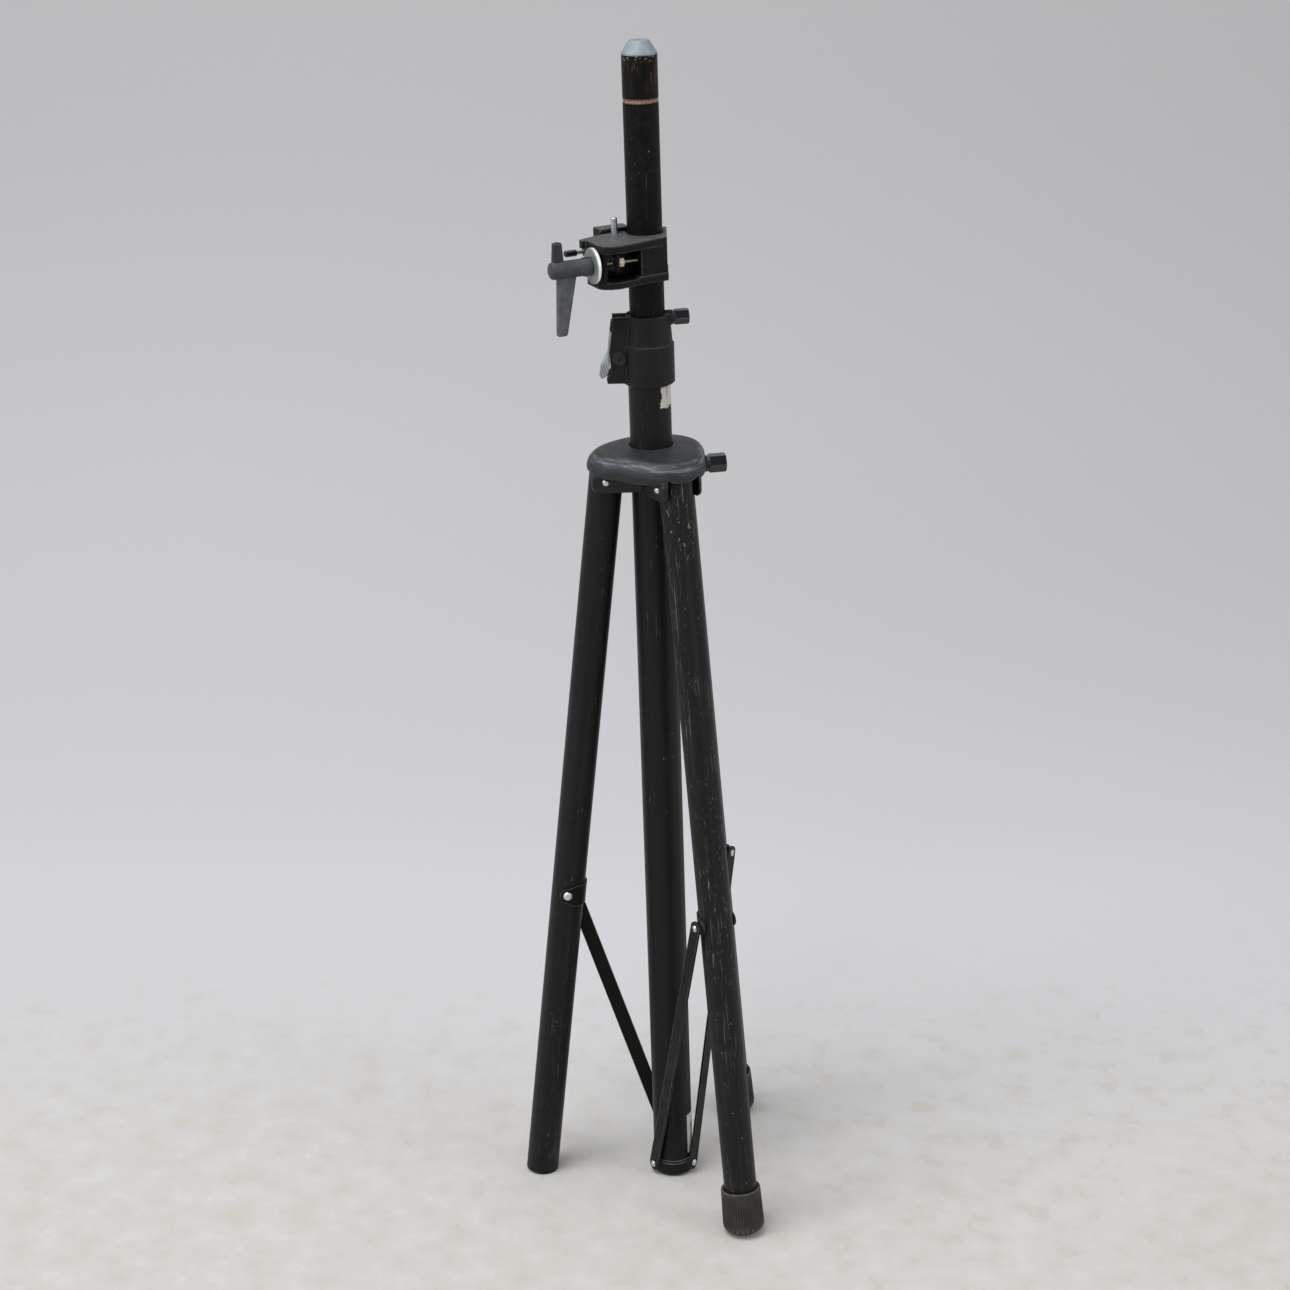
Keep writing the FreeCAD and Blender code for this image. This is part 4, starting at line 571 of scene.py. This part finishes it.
def casting_paint(name, base, wear_and_highlight, wear_and_glint, gloss, brown=0.0, top_sheen_and_wear=0.0, shoulder_highlight=0.0,
                  shade=1.0, edge_radius=0.0016, black_paint_and_shade=None):
    """Satin paint, paled in places by scrapes and rubbing and by painted highlight on edges, sloped
    shoulders and top faces. Side and downturned faces darken by the shade factor, a painted shade;
    recesses get a painted black shade; unworn gives the places it keeps black, some as black paint,
    some as painted shade.
    """
    recess_depth, recess_shade_black, paint_and_shade_black = 0.014, (0.0012,) * 3, (0.0020, 0.0022, 0.0024)
    warm_dirt = (0.022, 0.018, 0.015)
    flat_rubs, cross_rubs = (46.0, 46.0, 420.0), (60.0, 130.0, 60.0)
    material, wire, place, shader = new_material(name)
    edges, rounded = worn_and_glinting_edges(wire, edge_radius)
    peel = noise(wire, place, 900.0, 3.0, 0.5)
    handled = noise(wire, place, 38.0, 5.0, 0.62)
    fine = noise(wire, place, 300.0, 4.0, 0.65)
    scrapes = noise(wire, place, 75.0, 6.0, 0.7).rise(0.60, 0.72)
    lift = wire.node("SeparateXYZ", None, {"Vector": wire.node("NewGeometry", out=1)}, out=2)
    dull, lifted = tuple(0.75 * c for c in base), tuple(1.9 * c for c in base)
    colour = handled.rise(0.3, 0.75).tint(dull, lifted)
    # Side and downturned faces darkened by the shade factor: painted shade.
    colour = lift.rise(-0.35, 0.55).tint(tuple(shade * c for c in base), colour)
    colour = (fine.rise(0.45, 0.75) * brown).tint(colour, warm_dirt)
    # Edges paled as wear and as painted glint; scrapes are wear.
    bare = edges * (0.4 + fine.rise(0.42, 0.6) * 0.6) * wear_and_glint + scrapes * 0.12 * wear_and_glint
    upward = lift.rise(0.5, 0.95)
    shoulder = lift.rise(0.34, 0.6) * lift.rise(0.94, 0.74)
    rubbed = wire.node("VectorMath", {"operation": "MULTIPLY"}, {0: place, 1: flat_rubs})
    rubbed = noise(wire, rubbed, 1.0, 7.0, 0.7).rise(0.40, 0.70)
    # Sloped shoulders paled with a painted highlight, broken by rubbed streaks.
    bare = bare + (shoulder * (0.04 + rubbed * 0.66) + rubbed * 0.08) * shoulder_highlight
    streaks = wire.node("VectorMath", {"operation": "MULTIPLY"}, {0: place, 1: cross_rubs})
    streaks = noise(wire, streaks, 1.0, 5.0, 0.7)
    # Top faces paled: painted light from above, streaked with wear.
    bare = bare + upward * (0.3 + streaks.rise(0.36, 0.8) * 0.4) * top_sheen_and_wear
    # Darkened where surfaces close in: painted black shade in recesses.
    recess_shade = wire.node("AmbientOcclusion", {"samples": 8}, {"Distance": recess_depth}, out=1)
    recess_shade = recess_shade.rise(0.62, 0.3)
    colour = (recess_shade * 0.9).tint(colour, recess_shade_black)
    bare = bare * (1.0 - recess_shade)
    # Masked places go black: painted shade under the crown's rim and in the clamp's window, black
    # paint on the knob boss and the cam pin's ends.
    if black_paint_and_shade:
        black_mask = black_paint_and_shade(wire, place)
        colour = black_mask.tint(colour, paint_and_shade_black)
        bare = bare * (1.0 - black_mask)
    bump = bumped(wire, 0.22, 0.0004, peel + fine * 0.7, rounded)
    plug(shader, Base_Color=bare.tint(colour, wear_and_highlight), Roughness=0.4 + handled * 0.12 + fine * 0.08,
         Normal=bump, Specular_IOR_Level=gloss)
    return material


lower_axis = axis_line("lower_tube", (0.0, 0.0, 1.0))[2]
crown_peak = max(v.co @ lower_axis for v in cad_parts["crown_casting"].data.vertices)
crown_depth, rim_blur = 0.0276, 0.0012
boss_radius, boss_reach = 0.0094, -0.0046
knob_foot, _, knob_axis = axis_line("crown_knob", (1.0, 0.0, 0.0))


def crown_shade_and_black_boss(wire, place):
    """Below the crown's rim, painted shade under its overhang, and on the boss that carries the
    lock knob, which stays black.
    """
    rim = crown_peak - crown_depth
    below = dot(wire, place, lower_axis).rise(rim, rim - rim_blur)
    boss = off_axis(wire, place, knob_foot, knob_axis)
    boss = boss.rise(boss_radius + 0.0004, boss_radius - 0.0004)
    outside = dot(wire, place, knob_axis, knob_foot).rise(boss_reach - 0.0004, boss_reach + 0.0004)
    return below + boss * outside


# The crown: painted highlight on its shoulders, painted shade on its sides and below its rim; the
# knob boss black.
crown_paint = casting_paint("crown_paint", (0.0100, 0.0128, 0.0155), (0.27, 0.31, 0.36), 0.5, 0.46,
                            shoulder_highlight=0.75, shade=0.3, black_paint_and_shade=crown_shade_and_black_boss)
dress(crown_paint, "crown_casting")


def round_cam_pin(wire, place):
    """The flush ends of the cam lever's pin, painted over with the cheeks."""
    pin_head = 0.0059
    return off_axis(wire, place, cam_pin, cam_pin_axis).rise(pin_head + 0.0003, pin_head - 0.0003)


# The collar: edges paled as wear and painted glint; the cam pin's ends kept black.
collar_paint = casting_paint("collar_paint", (0.0042, 0.0048, 0.0054), (0.1, 0.1, 0.1), 0.9, 0.26,
                             black_paint_and_shade=round_cam_pin)
dress(collar_paint, "collar_casting", "cam_pin")

screw_low, screw_high, screw_axis = axis_line("clamp_spindle", (-1.0, 0.0, 0.0))
mast_axis = axis_line("upper_tube", (0.0, 0.0, 1.0))[2]
clamp_back = screw_axis.cross(mast_axis)
thread_end, drive_taper, washer_gap = 0.0508, 0.0039, 0.0004
washer_face = screw_low + screw_axis * (thread_end + drive_taper + washer_gap)
window_low, window_high, window_side, window_blur = -0.0159, 0.0135, -0.0451, 0.0003


def clamp_point(p, w, up):
    """A point p out along the screw from the washer, w to the back and up the mast."""
    return washer_face + screw_axis * p + clamp_back * w + mast_axis * up


def window_shade(wire, place):
    """The clamp's open middle, between its plates, painted black as shade."""
    up = dot(wire, place, mast_axis, washer_face)
    along = dot(wire, place, screw_axis, washer_face)
    above = up.rise(window_low - window_blur, window_low + window_blur)
    below = up.rise(window_high + window_blur, window_high - window_blur)
    return above * below * along.rise(window_side - window_blur, window_side + window_blur)


# The clamp: top faces paled by painted light from above and by wear; its window painted black as
# shade.
clamp_paint = casting_paint("clamp_paint", (0.0026, 0.0027, 0.0028), (0.14, 0.146, 0.152), 0.8, 0.2,
                            brown=0.5, top_sheen_and_wear=1.15, edge_radius=0.0034, black_paint_and_shade=window_shade)

clamp_shell = softened("clamp_body", "clamp_shell", 0.0014, clamp_paint)
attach(clamp_shell, "clamp")
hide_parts("clamp_body")

jaw_shell = softened("moving_jaw", "jaw_shell", 0.0008, clamp_paint)
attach(jaw_shell, "jaw")
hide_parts("moving_jaw")


def loft(rings, shape):
    """Skin between closed rings of points, with both ends closed."""
    made = [[shape.verts.new(point) for point in ring] for ring in rings]
    for this, following in zip(made, made[1:]):
        for i in range(len(this)):
            j = (i + 1) % len(this)
            shape.faces.new((this[i], this[j], following[j], following[i]))
    shape.faces.new(list(reversed(made[0])))
    shape.faces.new(made[-1])


def skinned(name, lofts, crease):
    """A mesh of one or more lofts, shaded smooth but for edges sharper than the crease."""
    shape = bmesh.new()
    for rings in lofts:
        loft(rings, shape)
    bmesh.ops.recalc_face_normals(shape, faces=shape.faces)
    mesh = bpy.data.meshes.new(name)
    shape.to_mesh(mesh)
    shape.free()
    smooth_by_angle(mesh, crease)
    return mesh


casting_surface = BVHTree.FromPolygons([v.co for v in clamp_shell.data.vertices],
                                       [face.vertices for face in clamp_shell.data.polygons])


def clamp_face(p, up):
    """How far back from the screw's line the casting's front stands here."""
    in_front = -0.09
    place = casting_surface.ray_cast(clamp_point(p, in_front, up), clamp_back)[0]
    return (place - washer_face) @ clamp_back if place else None


rib_low, rib_high, rib_depth, rib_root = -0.0219, -0.0138, 0.0019, 0.0015
rib_start, rib_end, rib_steps, rib_turns = -0.0452, -0.0937, 40, 24
rib_middle, rib_half = (rib_low + rib_high) / 2, (rib_high - rib_low) / 2
rib_rings = []
for i in range(rib_steps + 1):
    p = rib_start + (rib_end - rib_start) * i / rib_steps
    face = clamp_face(p, rib_middle)
    if face is None:
        break
    ease = sqrt(max(0.0, 1 - (1 - min(1.0, 6 * i / rib_steps)) ** 2))
    ring = []
    for turn in range(rib_turns):
        c, s = cos(2 * pi * turn / rib_turns), sin(2 * pi * turn / rib_turns)
        forward = (rib_depth * ease if c > 0 else -rib_root) * abs(c) ** 0.5
        rise = abs(s) ** 0.5 if s > 0 else -abs(s) ** 0.5
        up = rib_middle + rib_half * (0.55 + 0.45 * ease) * rise
        ring.append(clamp_point(p, face - forward, up))
    rib_rings.append(ring)
rib_mesh = skinned("clamp_rib", [rib_rings], 60.0)
rib_mesh.materials.append(clamp_paint)
clamp_rib = add_to_scene("clamp_rib", rib_mesh)
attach(clamp_rib, "clamp")

# ---- knobs and bushes -----------------------------------------------------------------------
# Black moulded plastic: the two hexagonal lock knobs, the clamp's small round knob, the mast's
# end cap, the brake shoe, and the nylon bushes that the tubes slide in. The knobs are paler on top,
# as dust and painted highlight, brownish underneath as a painted reflection of the floor, and paler
# on their corners as wear and painted highlight.


def moulded_plastic(name, base, roughness, gloss=0.3, edge_radius=0.0006, dust=0.0, edge_glint_and_wear=10.0):
    """Grained plastic; edge_glint_and_wear is how many times paler than the base its corners are,
    as wear and painted highlight. dust pales upward faces, as dust and painted highlight, and
    browns downward faces, a painted reflection of the floor.
    """
    top_dust_and_highlight, under_floor_reflection = (0.095, 0.11, 0.122), (0.062, 0.05, 0.043)
    wear_and_highlight = tuple(edge_glint_and_wear * c for c in base)
    material, wire, place, shader = new_material(name)
    edges, rounded = worn_and_glinting_edges(wire, edge_radius)
    grain = noise(wire, place, 1400.0, 3.0, 0.5)
    handled = noise(wire, place, 110.0, 4.0, 0.6)
    scuffed = edges * handled.rise(0.4, 0.6)
    colour = handled.rise(0.35, 0.75).tint(base, tuple(1.6 * c for c in base))
    if dust:
        lift = wire.node("SeparateXYZ", None, {"Vector": wire.node("NewGeometry", out=1)}, out=2)
        # Upward faces paler: dust and painted highlight. Downward faces brownish: painted
        # reflection of the floor.
        colour = (lift.rise(0.6, 0.92) * dust).tint(colour, top_dust_and_highlight)
        colour = (lift.rise(-0.3, -0.45) * dust).tint(colour, under_floor_reflection)
    bump = bumped(wire, 0.15, 0.0002, grain, rounded)
    # Corners paled: wear and painted highlight.
    plug(shader, Base_Color=(edges * 0.6 + scuffed * 0.4).tint(colour, wear_and_highlight),
         Roughness=roughness + handled * 0.14, Normal=bump, Specular_IOR_Level=gloss)
    return material


knob_plastic = moulded_plastic("knob_plastic", (0.0038, 0.0044, 0.0053), 0.32, gloss=0.2,
                               edge_radius=0.0011, dust=0.95, edge_glint_and_wear=70.0)
nylon = moulded_plastic("nylon", (0.0045, 0.0045, 0.0045), 0.5)
dress(knob_plastic, "crown_knob", "collar_knob", "side_lock_knob", "hub_cap")
dress(nylon, "crown_bush", "collar_bush", "brake_shoe", "tube_end_bush")

# ---- label ----------------------------------------------------------------------------------
# A blank strip of pale plastic film stuck low on the mast, yellowed, with grey smudges where it
# has rubbed.
fresh_film, yellow_film, grey_smudge = (0.56, 0.56, 0.53), (0.32, 0.31, 0.28), (0.13, 0.15, 0.17)
film, wire, place, shader = new_material("label_film")
rubbed = noise(wire, place, 160.0, 5.0, 0.6)
smudge = noise(wire, place, 48.0, 3.0, 0.6).rise(0.5, 0.62)
film_colour = rubbed.rise(0.52, 0.72).tint(fresh_film, yellow_film)
plug(shader, Base_Color=(smudge * 0.8).tint(film_colour, grey_smudge), Roughness=0.5 + rubbed * 0.2)
dress(film, "tube_label")

# ---- rubber feet ----------------------------------------------------------------------------
# Moulded rubber caps pushed over the front and rear legs' ends: a thin scraped lip at the top,
# shallow upright flutes round the wall, dark inside, and a ring of small rubbed studs above a
# domed sole.
foot_turns, foot_lines = 240, 48
wall_top, wall_bottom, wall_steps = (0.0212, 0.0410), (0.0222, 0.0035), 30
wall_flare = wall_bottom[0] - wall_top[0]
wall_drop = wall_bottom[1] - wall_top[1]
stud_level, stud_reach, stud_rise = -0.0005, 0.0016, 0.0007
flute_depth, flute_top, flute_bottom, flute_fade = 0.0006, 0.038, 0.004, 0.003
sole_radius, sole_level, sole_dome, sole_steps = 0.0210, -0.0015, 0.0059, 16
heel_steps, heel_start, heel_drop, heel_tuck = 10, 0.0030, 0.0045, 0.0012
foot_profile = [(0.0179, 0.0396), (0.0186, 0.0426), (0.0196, 0.0431), (0.0209, 0.0427),
                (0.0212, 0.0415)]
foot_profile += [(wall_top[0] + wall_flare * i / wall_steps,
                  wall_top[1] + wall_drop * i / wall_steps) for i in range(wall_steps + 1)]
foot_profile += [(wall_bottom[0] - heel_tuck * (i / heel_steps) ** 2,
                  heel_start - heel_drop * i / heel_steps) for i in range(1, heel_steps + 1)]
sole_angles = [pi / 2 * i / sole_steps for i in range(1, sole_steps)]
foot_profile += [(sole_radius * cos(a) ** 0.7, sole_level - sole_dome * sin(a))
                 for a in sole_angles]


def turned_mesh(name, profile, turns, shape_radius, origin, axis):
    """Lathe a profile of (radius, height) about an axis; shape_radius varies it round."""
    level, other = side_directions(axis)
    points = []
    for radius, height in profile:
        for turn in range(turns):
            angle = 2 * pi * turn / turns
            r = shape_radius(radius, height, angle)
            points.append(origin + axis * height + level * (r * cos(angle))
                          + other * (r * sin(angle)))
    faces = []
    for step in range(len(profile) - 1):
        for turn in range(turns):
            a, b = step * turns + turn, step * turns + (turn + 1) % turns
            faces.append((a, a + turns, b + turns, b))
    mesh = bpy.data.meshes.new(name)
    mesh.from_pydata([tuple(p) for p in points], [], faces)
    return mesh


def close_end(mesh, turns, last):
    """Close the lathe's first or last ring with one face."""
    shape = bmesh.new()
    shape.from_mesh(mesh)
    shape.verts.ensure_lookup_table()
    ring = shape.verts[-turns:] if last else shape.verts[:turns]
    shape.faces.new(ring if last else list(reversed(ring)))
    bmesh.ops.recalc_face_normals(shape, faces=shape.faces)
    shape.to_mesh(mesh)
    shape.free()


def foot_radius(radius, height, angle):
    """Flutes on the wall and studs near the sole."""
    if flute_bottom < height < flute_top:
        ease = min(1.0, (flute_top - height) / flute_fade, (height - flute_bottom) / flute_fade)
        radius -= flute_depth * ease * (0.5 + 0.5 * cos(foot_lines * angle)) ** 2
    off_studs = abs(height - stud_level)
    if off_studs < stud_reach:
        stud = max(0.0, cos(foot_lines / 2 * angle)) ** 2
        radius += stud_rise * stud * (1 - (off_studs / stud_reach) ** 2)
    return radius


def foot_rubber(name, origin, axis):
    """Dusty rubber, dark in the flutes and rubbed on the studs."""
    rubber, dust, shadow, rubbed = ((0.020, 0.019, 0.0175), (0.056, 0.051, 0.045),
                                    (0.0055, 0.005, 0.0045), (0.12, 0.105, 0.09))
    material, wire, place, shader = new_material(name)
    dusty = noise(wire, place, 70.0, 5.0, 0.62)
    grit = noise(wire, place, 900.0, 3.0, 0.6)
    level, other = side_directions(axis)
    turn = wire.math("ARCTAN2", dot(wire, place, other, origin), dot(wire, place, level, origin))
    height = dot(wire, place, axis, origin)
    flutes = wire.math("COSINE", turn * foot_lines).rise(-0.3, 0.7)
    flutes = flutes * height.rise(0.036, 0.026) * height.rise(0.002, 0.006)
    studs = wire.math("COSINE", turn * (foot_lines / 2)).rise(0.0, 0.7)
    studs = studs * height.rise(-0.0030, -0.0018) * height.rise(0.0022, 0.0008)
    colour = (dusty.rise(0.35, 0.7) * 0.7 + grit.rise(0.5, 0.7) * 0.3).tint(rubber, dust)
    colour = (flutes * 0.85).tint(colour, shadow)
    colour = (studs * 0.7).tint(colour, rubbed)
    bump = bumped(wire, 0.3, 0.0004, grit)
    plug(shader, Base_Color=colour, Roughness=0.72 + dusty * 0.15, Normal=bump)
    return material


lip_height, lip_brown, lip_scraped = 0.0418, (0.05, 0.04, 0.032), (0.13, 0.105, 0.085)
lip_rubber, wire, place, shader = new_material("lip_rubber")
scraped = noise(wire, place, 260.0, 4.0, 0.6)
plug(shader, Base_Color=scraped.rise(0.4, 0.65).tint(lip_brown, lip_scraped),
     Roughness=0.7 + scraped * 0.1)
for leg in ("front", "rear"):
    leg_end, _, leg_axis = axis_line("leg_tube_" + leg, (0.0, 0.0, 1.0))
    foot_mesh = turned_mesh("foot_" + leg, foot_profile, foot_turns, foot_radius, leg_end, leg_axis)
    close_end(foot_mesh, foot_turns, True)
    smooth_by_angle(foot_mesh, 50.0)
    for material in (foot_rubber("foot_rubber_" + leg, leg_end, leg_axis), lip_rubber):
        foot_mesh.materials.append(material)
    for face in foot_mesh.polygons:
        face.material_index = int((face.center - leg_end) @ leg_axis > lip_height)
    foot = add_to_scene("foot_" + leg, foot_mesh)
    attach(foot, "leg_" + leg)
    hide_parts("rubber_foot_" + leg)

# ---- clamp screw ----------------------------------------------------------------------------
# Steel rod with a rolled metric thread that draws the jaw, with a plain drive for the lever, and
# the hexagonal brass nut that it turns in.
thread_pitch, thread_depth, thread_steps = 0.0015, 0.0004, 8
thread_start, thread_runout = 0.0006, 0.001
tip_radius, rod_radius, drive_radius, screw_turns = 0.0013, 0.0020, 0.0050, 32
screw_length = (screw_high - screw_low).length
screw_steps = int((thread_end - thread_start) * thread_steps / thread_pitch)
screw_profile = [(tip_radius, 0.0), (0.0019, thread_start)]
screw_profile += [(rod_radius, thread_start + thread_pitch / thread_steps * i)
                  for i in range(1, screw_steps)]
screw_profile += [(rod_radius, thread_end), (drive_radius, thread_end + drive_taper),
                  (drive_radius, screw_length)]


def thread_radius(radius, height, angle):
    """A single thread winding up the rod."""
    if thread_start < height < thread_end - thread_runout:
        turn = (height / thread_pitch - angle / (2 * pi)) % 1.0
        radius -= thread_depth * abs(2 * turn - 1)
    return radius


screw_mesh = turned_mesh("clamp_screw", screw_profile, screw_turns, thread_radius, screw_low,
                         screw_axis)
close_end(screw_mesh, screw_turns, False)
close_end(screw_mesh, screw_turns, True)
smooth_by_angle(screw_mesh, 60.0)
screw_mesh.materials.append(plated_steel("thread_steel", (0.62, 0.54, 0.44), 0.36))
clamp_screw = add_to_scene("clamp_screw", screw_mesh)
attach(clamp_screw, "spindle")
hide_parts("clamp_spindle")

# The brass is pale and almost matt so the nut shows bright in the window's shade: a painted
# highlight, with tarnish.
highlit_brass, dull_brass = (0.98, 0.9, 0.66), (0.9, 0.74, 0.44)
brass, wire, place, shader = new_material("nut_brass")
tarnish = noise(wire, place, 500.0, 4.0, 0.6)
_, brass_normal = worn_and_glinting_edges(wire, 0.0005)
plug(shader, Base_Color=tarnish.rise(0.4, 0.75).tint(highlit_brass, dull_brass),
     Roughness=0.24 + tarnish * 0.2, Metallic=0.15,
     Normal=bumped(wire, 0.1, 0.0002, tarnish, brass_normal))
dress(brass, "jaw_nut")

# ---- clamp lever ----------------------------------------------------------------------------
# Glass-filled plastic ratchet lever on the clamp's screw, moulded in one: a round barrel with a
# collar at the washer, a long tapered arm with a sunk panel on each face, and a short wing above.
# The one plastic is given lit and shaded copies, the arm painted lighter and the wing darker than
# the barrel: painted light and shade, with paler edges as painted highlight.
# Lit and shaded copies of one plastic: the arm painted lighter, the wing darker.
lever_plastic = moulded_plastic("lever_plastic", (0.036, 0.039, 0.046), 0.46, edge_glint_and_wear=4.0)
arm_plastic = moulded_plastic("arm_plastic", (0.064, 0.069, 0.077), 0.5, edge_radius=0.0014,
                              edge_glint_and_wear=2.6)
wing_plastic = moulded_plastic("wing_plastic", (0.0070, 0.0090, 0.0100), 0.4, gloss=0.5,
                               edge_radius=0.0014)
dress(lever_plastic, "lever_cap")

blade_points, blade_corner, panel_width = 48, 5.0, 0.74
barrel_length, barrel_radius, barrel_turns, collar_rise = 0.0427, 0.0086, 64, 0.0008
arm_root, arm_tip, arm_length, panel_depth = (0.0145, 0.0350), (0.0275, 0.0378), 0.0650, 0.0009
wing_root, wing_tip, wing_height = (0.0281, 0.0402), (0.0301, 0.0387), 0.0275
blade_half, blade_tip_half, blade_steps = 0.0045, 0.00325, 24


def blade_ring(p0, p1, half, up, sunk):
    """Rounded oblong across the blade, hollowed on both broad faces."""
    middle, reach = (p0 + p1) / 2, (p1 - p0) / 2
    power = 2.0 / blade_corner
    ring = []
    for i in range(blade_points):
        angle = 2 * pi * (i + 0.5) / blade_points
        c, s = cos(angle), sin(angle)
        x = reach * abs(c) ** power * (1 if c > 0 else -1)
        y = half * abs(s) ** power * (1 if s > 0 else -1)
        inside = max(0.0, 1 - (abs(x) / (reach * panel_width)) ** 6)
        y -= sunk * inside * (1 if y > 0 else -1)
        ring.append(clamp_point(middle + x, y, up))
    return ring


def blade(root, tip, reach, ends, panel):
    """Rings down a tapered blade; ends lists (share of its length, inset) for its rounded end."""
    rings = []
    for share, inset in [(i / blade_steps, 0.0) for i in range(blade_steps)] + ends:
        low = root[0] + (tip[0] - root[0]) * share + inset
        high = root[1] + (tip[1] - root[1]) * share - inset
        half = blade_half + (blade_tip_half - blade_half) * share - inset * 0.7
        sunk = panel * min(1.0, max(0.0, 6 * share - 0.9), max(0.0, 9.2 - 10 * share))
        rings.append(blade_ring(low, high, half, reach * share, sunk))
    return rings


barrel_profile = [(0.0003, barrel_radius - 0.0002), (0.0012, barrel_radius + collar_rise),
                  (0.0072, barrel_radius + collar_rise), (0.0082, barrel_radius),
                  (0.0210, barrel_radius - 0.0001), (0.0300, barrel_radius),
                  (0.0390, barrel_radius), (0.0412, barrel_radius - 0.0006),
                  (0.0423, barrel_radius - 0.0020), (barrel_length, barrel_radius - 0.0044)]
barrel_angles = [2 * pi * i / barrel_turns for i in range(barrel_turns)]
barrel = [[clamp_point(p, radius * cos(a), radius * sin(a)) for a in barrel_angles]
          for p, radius in barrel_profile]
arm = blade(arm_root, arm_tip, -arm_length, [(0.975, 0.0), (0.99, 0.0005), (0.998, 0.0014)],
            panel_depth)
wing = blade(wing_root, wing_tip, wing_height, [(0.94, 0.0004), (0.975, 0.0012), (0.997, 0.0028)],
             0.0)
lever_mesh = skinned("lever_moulding", [barrel, arm, wing], 45.0)
for material in (lever_plastic, arm_plastic, wing_plastic):
    lever_mesh.materials.append(material)
for face in lever_mesh.polygons:
    rise = (face.center - washer_face) @ mast_axis
    face.material_index = 1 if rise < -barrel_radius else 2 if rise > barrel_radius else 0
lever_moulding = add_to_scene("lever_moulding", lever_mesh)
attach(lever_moulding, "lever")
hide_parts("clamp_lever", "lever_cap")

bpy.context.scene.view_settings.view_transform = "Standard"
